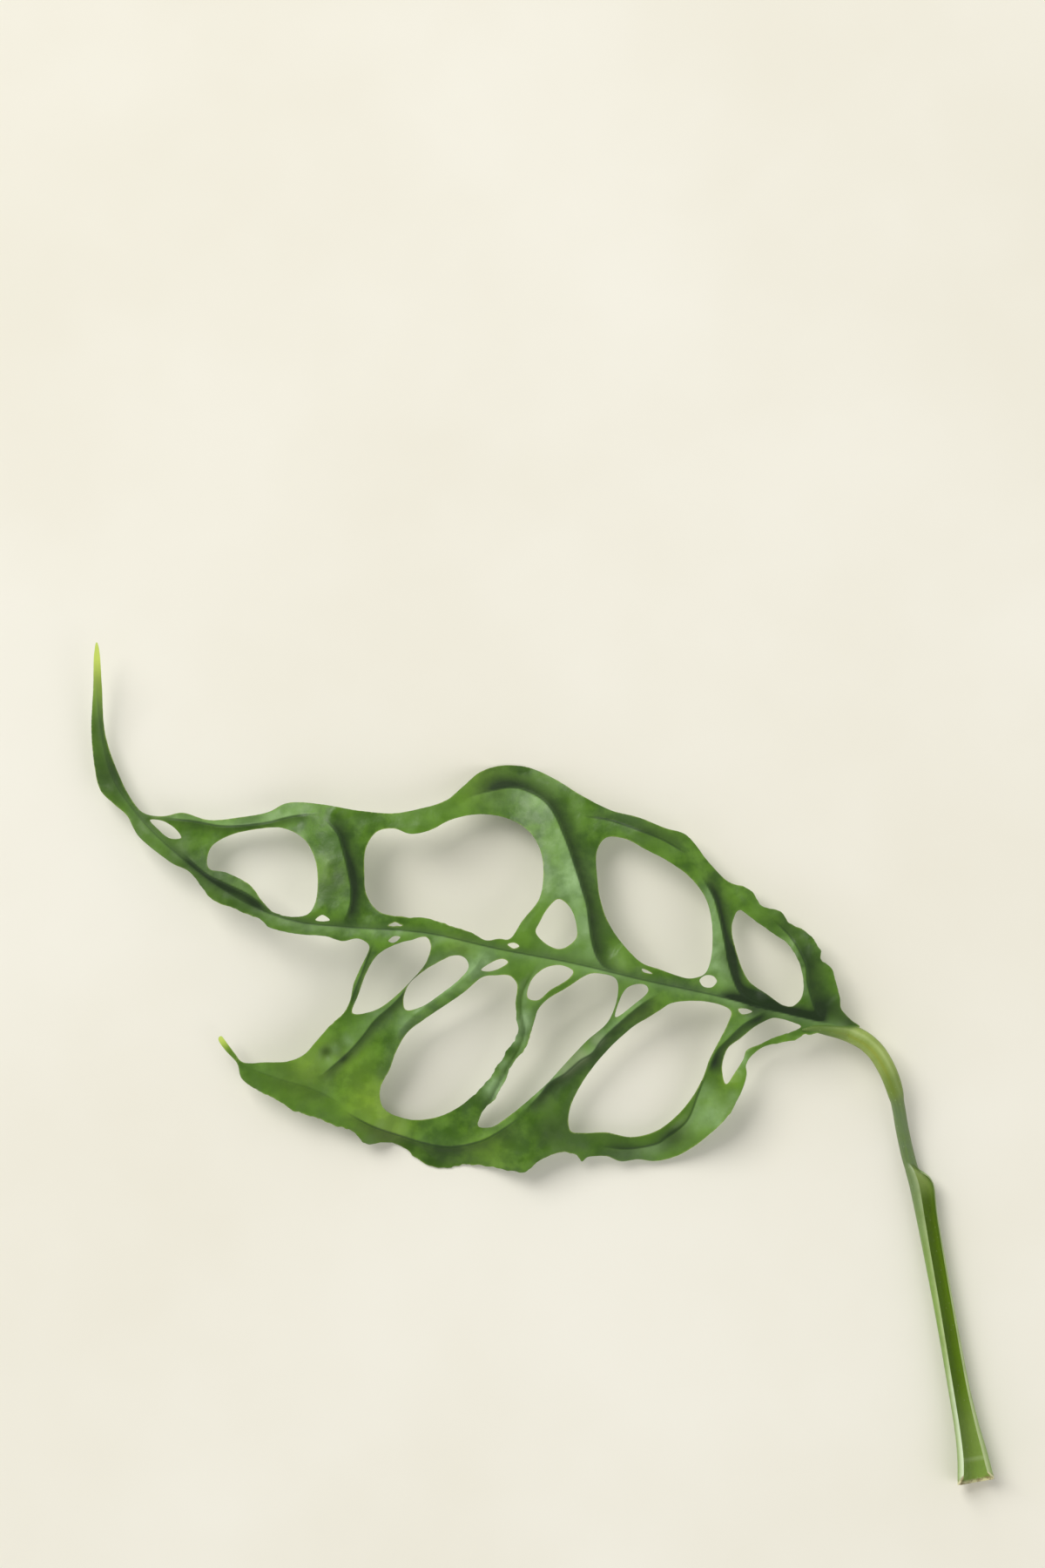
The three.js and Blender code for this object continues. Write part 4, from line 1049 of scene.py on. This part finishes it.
def stalkMaterial():
    material, tree = newTree("stalk_green")
    strength = stalkLook["strength"]
    share, inside = mask(tree, "share"), mask(tree, "inside")
    around, lengthwise = stalkLook["fibreScale"]
    along = addNode(tree, "ShaderNodeCombineXYZ", {"X": times(tree, mask(tree, "roundX"), around),
                    "Y": times(tree, mask(tree, "roundY"), around), "Z": times(tree, share, lengthwise)})
    fibres = addNode(tree, "ShaderNodeTexNoise", {"Vector": along.outputs[0], "Scale": 1.0, "Detail": 4.0,
                     "Roughness": 0.6}).outputs["Fac"]
    place = addNode(tree, "ShaderNodeTexCoord").outputs["Object"]
    flecks = addNode(tree, "ShaderNodeTexVoronoi", {"Vector": place, "Scale": stalkLook["fleckScale"]})

    def stretch(name, *values):
        return mapRange(tree, share, *stalkLook[name], *values)

    def streaks(name):
        return mapRange(tree, fibres, *stalkLook[name])

    def lay(factor, color, tone):
        return mixColor(tree, factor, color, stalkLook[tone])

    neck = lay(streaks("neckFibres"), stalkLook["neck"], "neckShade")
    # painted highlight band along the neck
    neck = tint(tree, neck, "paintedHighlight", stalkLook)
    neck = tint(tree, neck, "olive", stalkLook)
    neck = lay(stretch("neckShadeAt"), neck, "neckShade")
    neck = lay(stretch("jointAt"), neck, "joint")
    stem = lay(streaks("stemFibres"), stalkLook["stem"], "stemShade")
    sheath = lay(streaks("sheathFibres"), stalkLook["sheath"], "channel")
    color = mixColor(tree, stretch("stemAt"), neck, stem)
    color = mixColor(tree, stretch("sheathAt"), color, sheath)

    channel = lay(stretch("baseAt"), stalkLook["channel"], "base")
    channel = lay(times(tree, streaks("channelFibres"), stretch("baseAt", 1.0, 0.25)), channel, "neckShade")
    channel = lay(stretch("hoodAt"), channel, "hood")
    channel = lay(times(tree, mask(tree, "rightBand"), stretch("bandAt")), channel, "band")
    channel = lay(stretch("footAt"), channel, "sheath")
    ring = times(tree, stretch("ringStart"), stretch("ringEnd"))
    channel = lay(times(tree, ring, strength["ring"]), channel, "edge")
    color = mixColor(tree, inside, color, channel)

    color = lay(times(tree, mask(tree, "wingEdge"), stretch("wingAt")), color, "edge")
    # painted highlight along the left wing's rim
    color = tint(tree, color, "leftRimHighlight", stalkLook)
    fleck = mapRange(tree, flecks.outputs["Distance"], *stalkLook["fleckSize"])
    color = lay(times(tree, fleck, strength["fleck"]), color, "edge")
    patch = times(tree, patches(tree, *stalkLook["patches"]), stretch("baseAt", 1.0, 0.3))
    color = lay(patch, color, "neckShade")
    color = mixColor(tree, mask(tree, "bladeTissue"), color, bladeLook["deep"])
    color = lay(stretch("cutAt"), color, "cut")
    scar = times(tree, stretch("scarAt"), patches(tree, *stalkLook["scarPatches"]))
    color = lay(times(tree, scar, strength["scar"]), color, "scar")
    height = plus(tree, times(tree, fibres, stalkLook["fibreDepth"]), clouds(tree, *stalkLook["grain"]))
    finishMaterial(tree, color, streaks("roughness"), height, stalkLook["bump"],
                   **{"Specular IOR Level": stalkLook["specular"], "Coat Weight": stalkLook["coat"],
                      "Coat Roughness": stalkLook["coatRoughness"]})
    return material


blade.data.materials.clear()
blade.data.materials.append(bladeMaterial())
stalk.data.materials.append(stalkMaterial())
print("materials made")

stageLook = {
    "floorTones": (srgb(238, 234, 219), srgb(244, 241, 229)),
    "floorPatches": (9, 4, 0.3, 0.7),
    "floorRoughness": 0.9,
    "floorHalfSize": 2,
    "floorDrop": 0.0001,
    "skyColor": (1.0, 0.995, 0.98, 1),
    "skyStrength": (0.35, 0.95, 0.85, 0.12),  # height in the sky from and to, strength at each
    # place, size, power and color
    "lights": {"key": ((-1.3, 1.5, 1.9), 1.6, 52, (1.0, 0.99, 0.96)),
               "fill": ((1.2, -0.8, 1.6), 1.4, 8, (1.0, 1.0, 1.0))},
    "cameraPlan": (-65.2, 48.6),  # mm, in the blade's plan
    "cameraHeight": 1.1,
    "viewHeight": 0.3214,  # what the frame takes in from top to bottom, at this level
    "viewLevel": 0.006,
    "sensor": 24,
}


def makeFloor():
    material, tree = newTree("floor_paper")
    color = mixColor(tree, patches(tree, *stageLook["floorPatches"]), *stageLook["floorTones"])
    surface = addNode(tree, "ShaderNodeBsdfPrincipled", {"Base Color": color,
                      "Roughness": stageLook["floorRoughness"]})
    addNode(tree, "ShaderNodeOutputMaterial", {"Surface": surface.outputs["BSDF"]})
    sheet = bmesh.new()
    bmesh.ops.create_grid(sheet, x_segments=1, y_segments=1, size=stageLook["floorHalfSize"])
    mesh = bpy.data.meshes.new("floor")
    sheet.to_mesh(mesh)
    sheet.free()
    mesh.materials.append(material)
    floor = makeObject("floor", mesh)
    floor.location.z = -stageLook["floorDrop"]
    return floor


def makeSky():
    world = bpy.data.worlds.new("studio")
    world.use_nodes = True
    tree = world.node_tree
    tree.nodes.clear()
    direction = addNode(tree, "ShaderNodeTexCoord").outputs["Generated"]
    level = addNode(tree, "ShaderNodeSeparateXYZ", {0: direction}).outputs["Z"]
    sky = addNode(tree, "ShaderNodeBackground", {"Color": stageLook["skyColor"],
                  "Strength": mapRange(tree, level, *stageLook["skyStrength"])})
    addNode(tree, "ShaderNodeOutputWorld", {"Surface": sky.outputs[0]})
    bpy.context.scene.world = world


def makeLight(name, place, size, power, color):  # aimed at the middle of the leaf
    light = bpy.data.lights.new(name, "AREA")
    light.shape = "RECTANGLE"
    light.size = light.size_y = size
    light.energy = power
    light.color = color
    lamp = makeObject(name, light)
    lamp.location = place
    lamp.rotation_euler = (-Vector(place)).to_track_quat("-Z", "Y").to_euler()


def makeCamera():
    camera = makeObject("camera", bpy.data.cameras.new("camera"))
    x, y = stageLook["cameraPlan"]
    camera.location = ((x + planShift[0]) * mm, (y + planShift[1]) * mm, stageLook["cameraHeight"])
    camera.data.sensor_fit = "VERTICAL"
    camera.data.sensor_height = stageLook["sensor"]
    distance = stageLook["cameraHeight"] - stageLook["viewLevel"]
    camera.data.lens = stageLook["sensor"] * distance / stageLook["viewHeight"]
    return camera


floor = makeFloor()
makeSky()
for name, settings in stageLook["lights"].items():
    makeLight(name, *settings)
bpy.context.scene.camera = makeCamera()
bpy.context.scene.view_settings.view_transform = "Standard"
bpy.context.scene.view_settings.look = "None"
print("stage set")
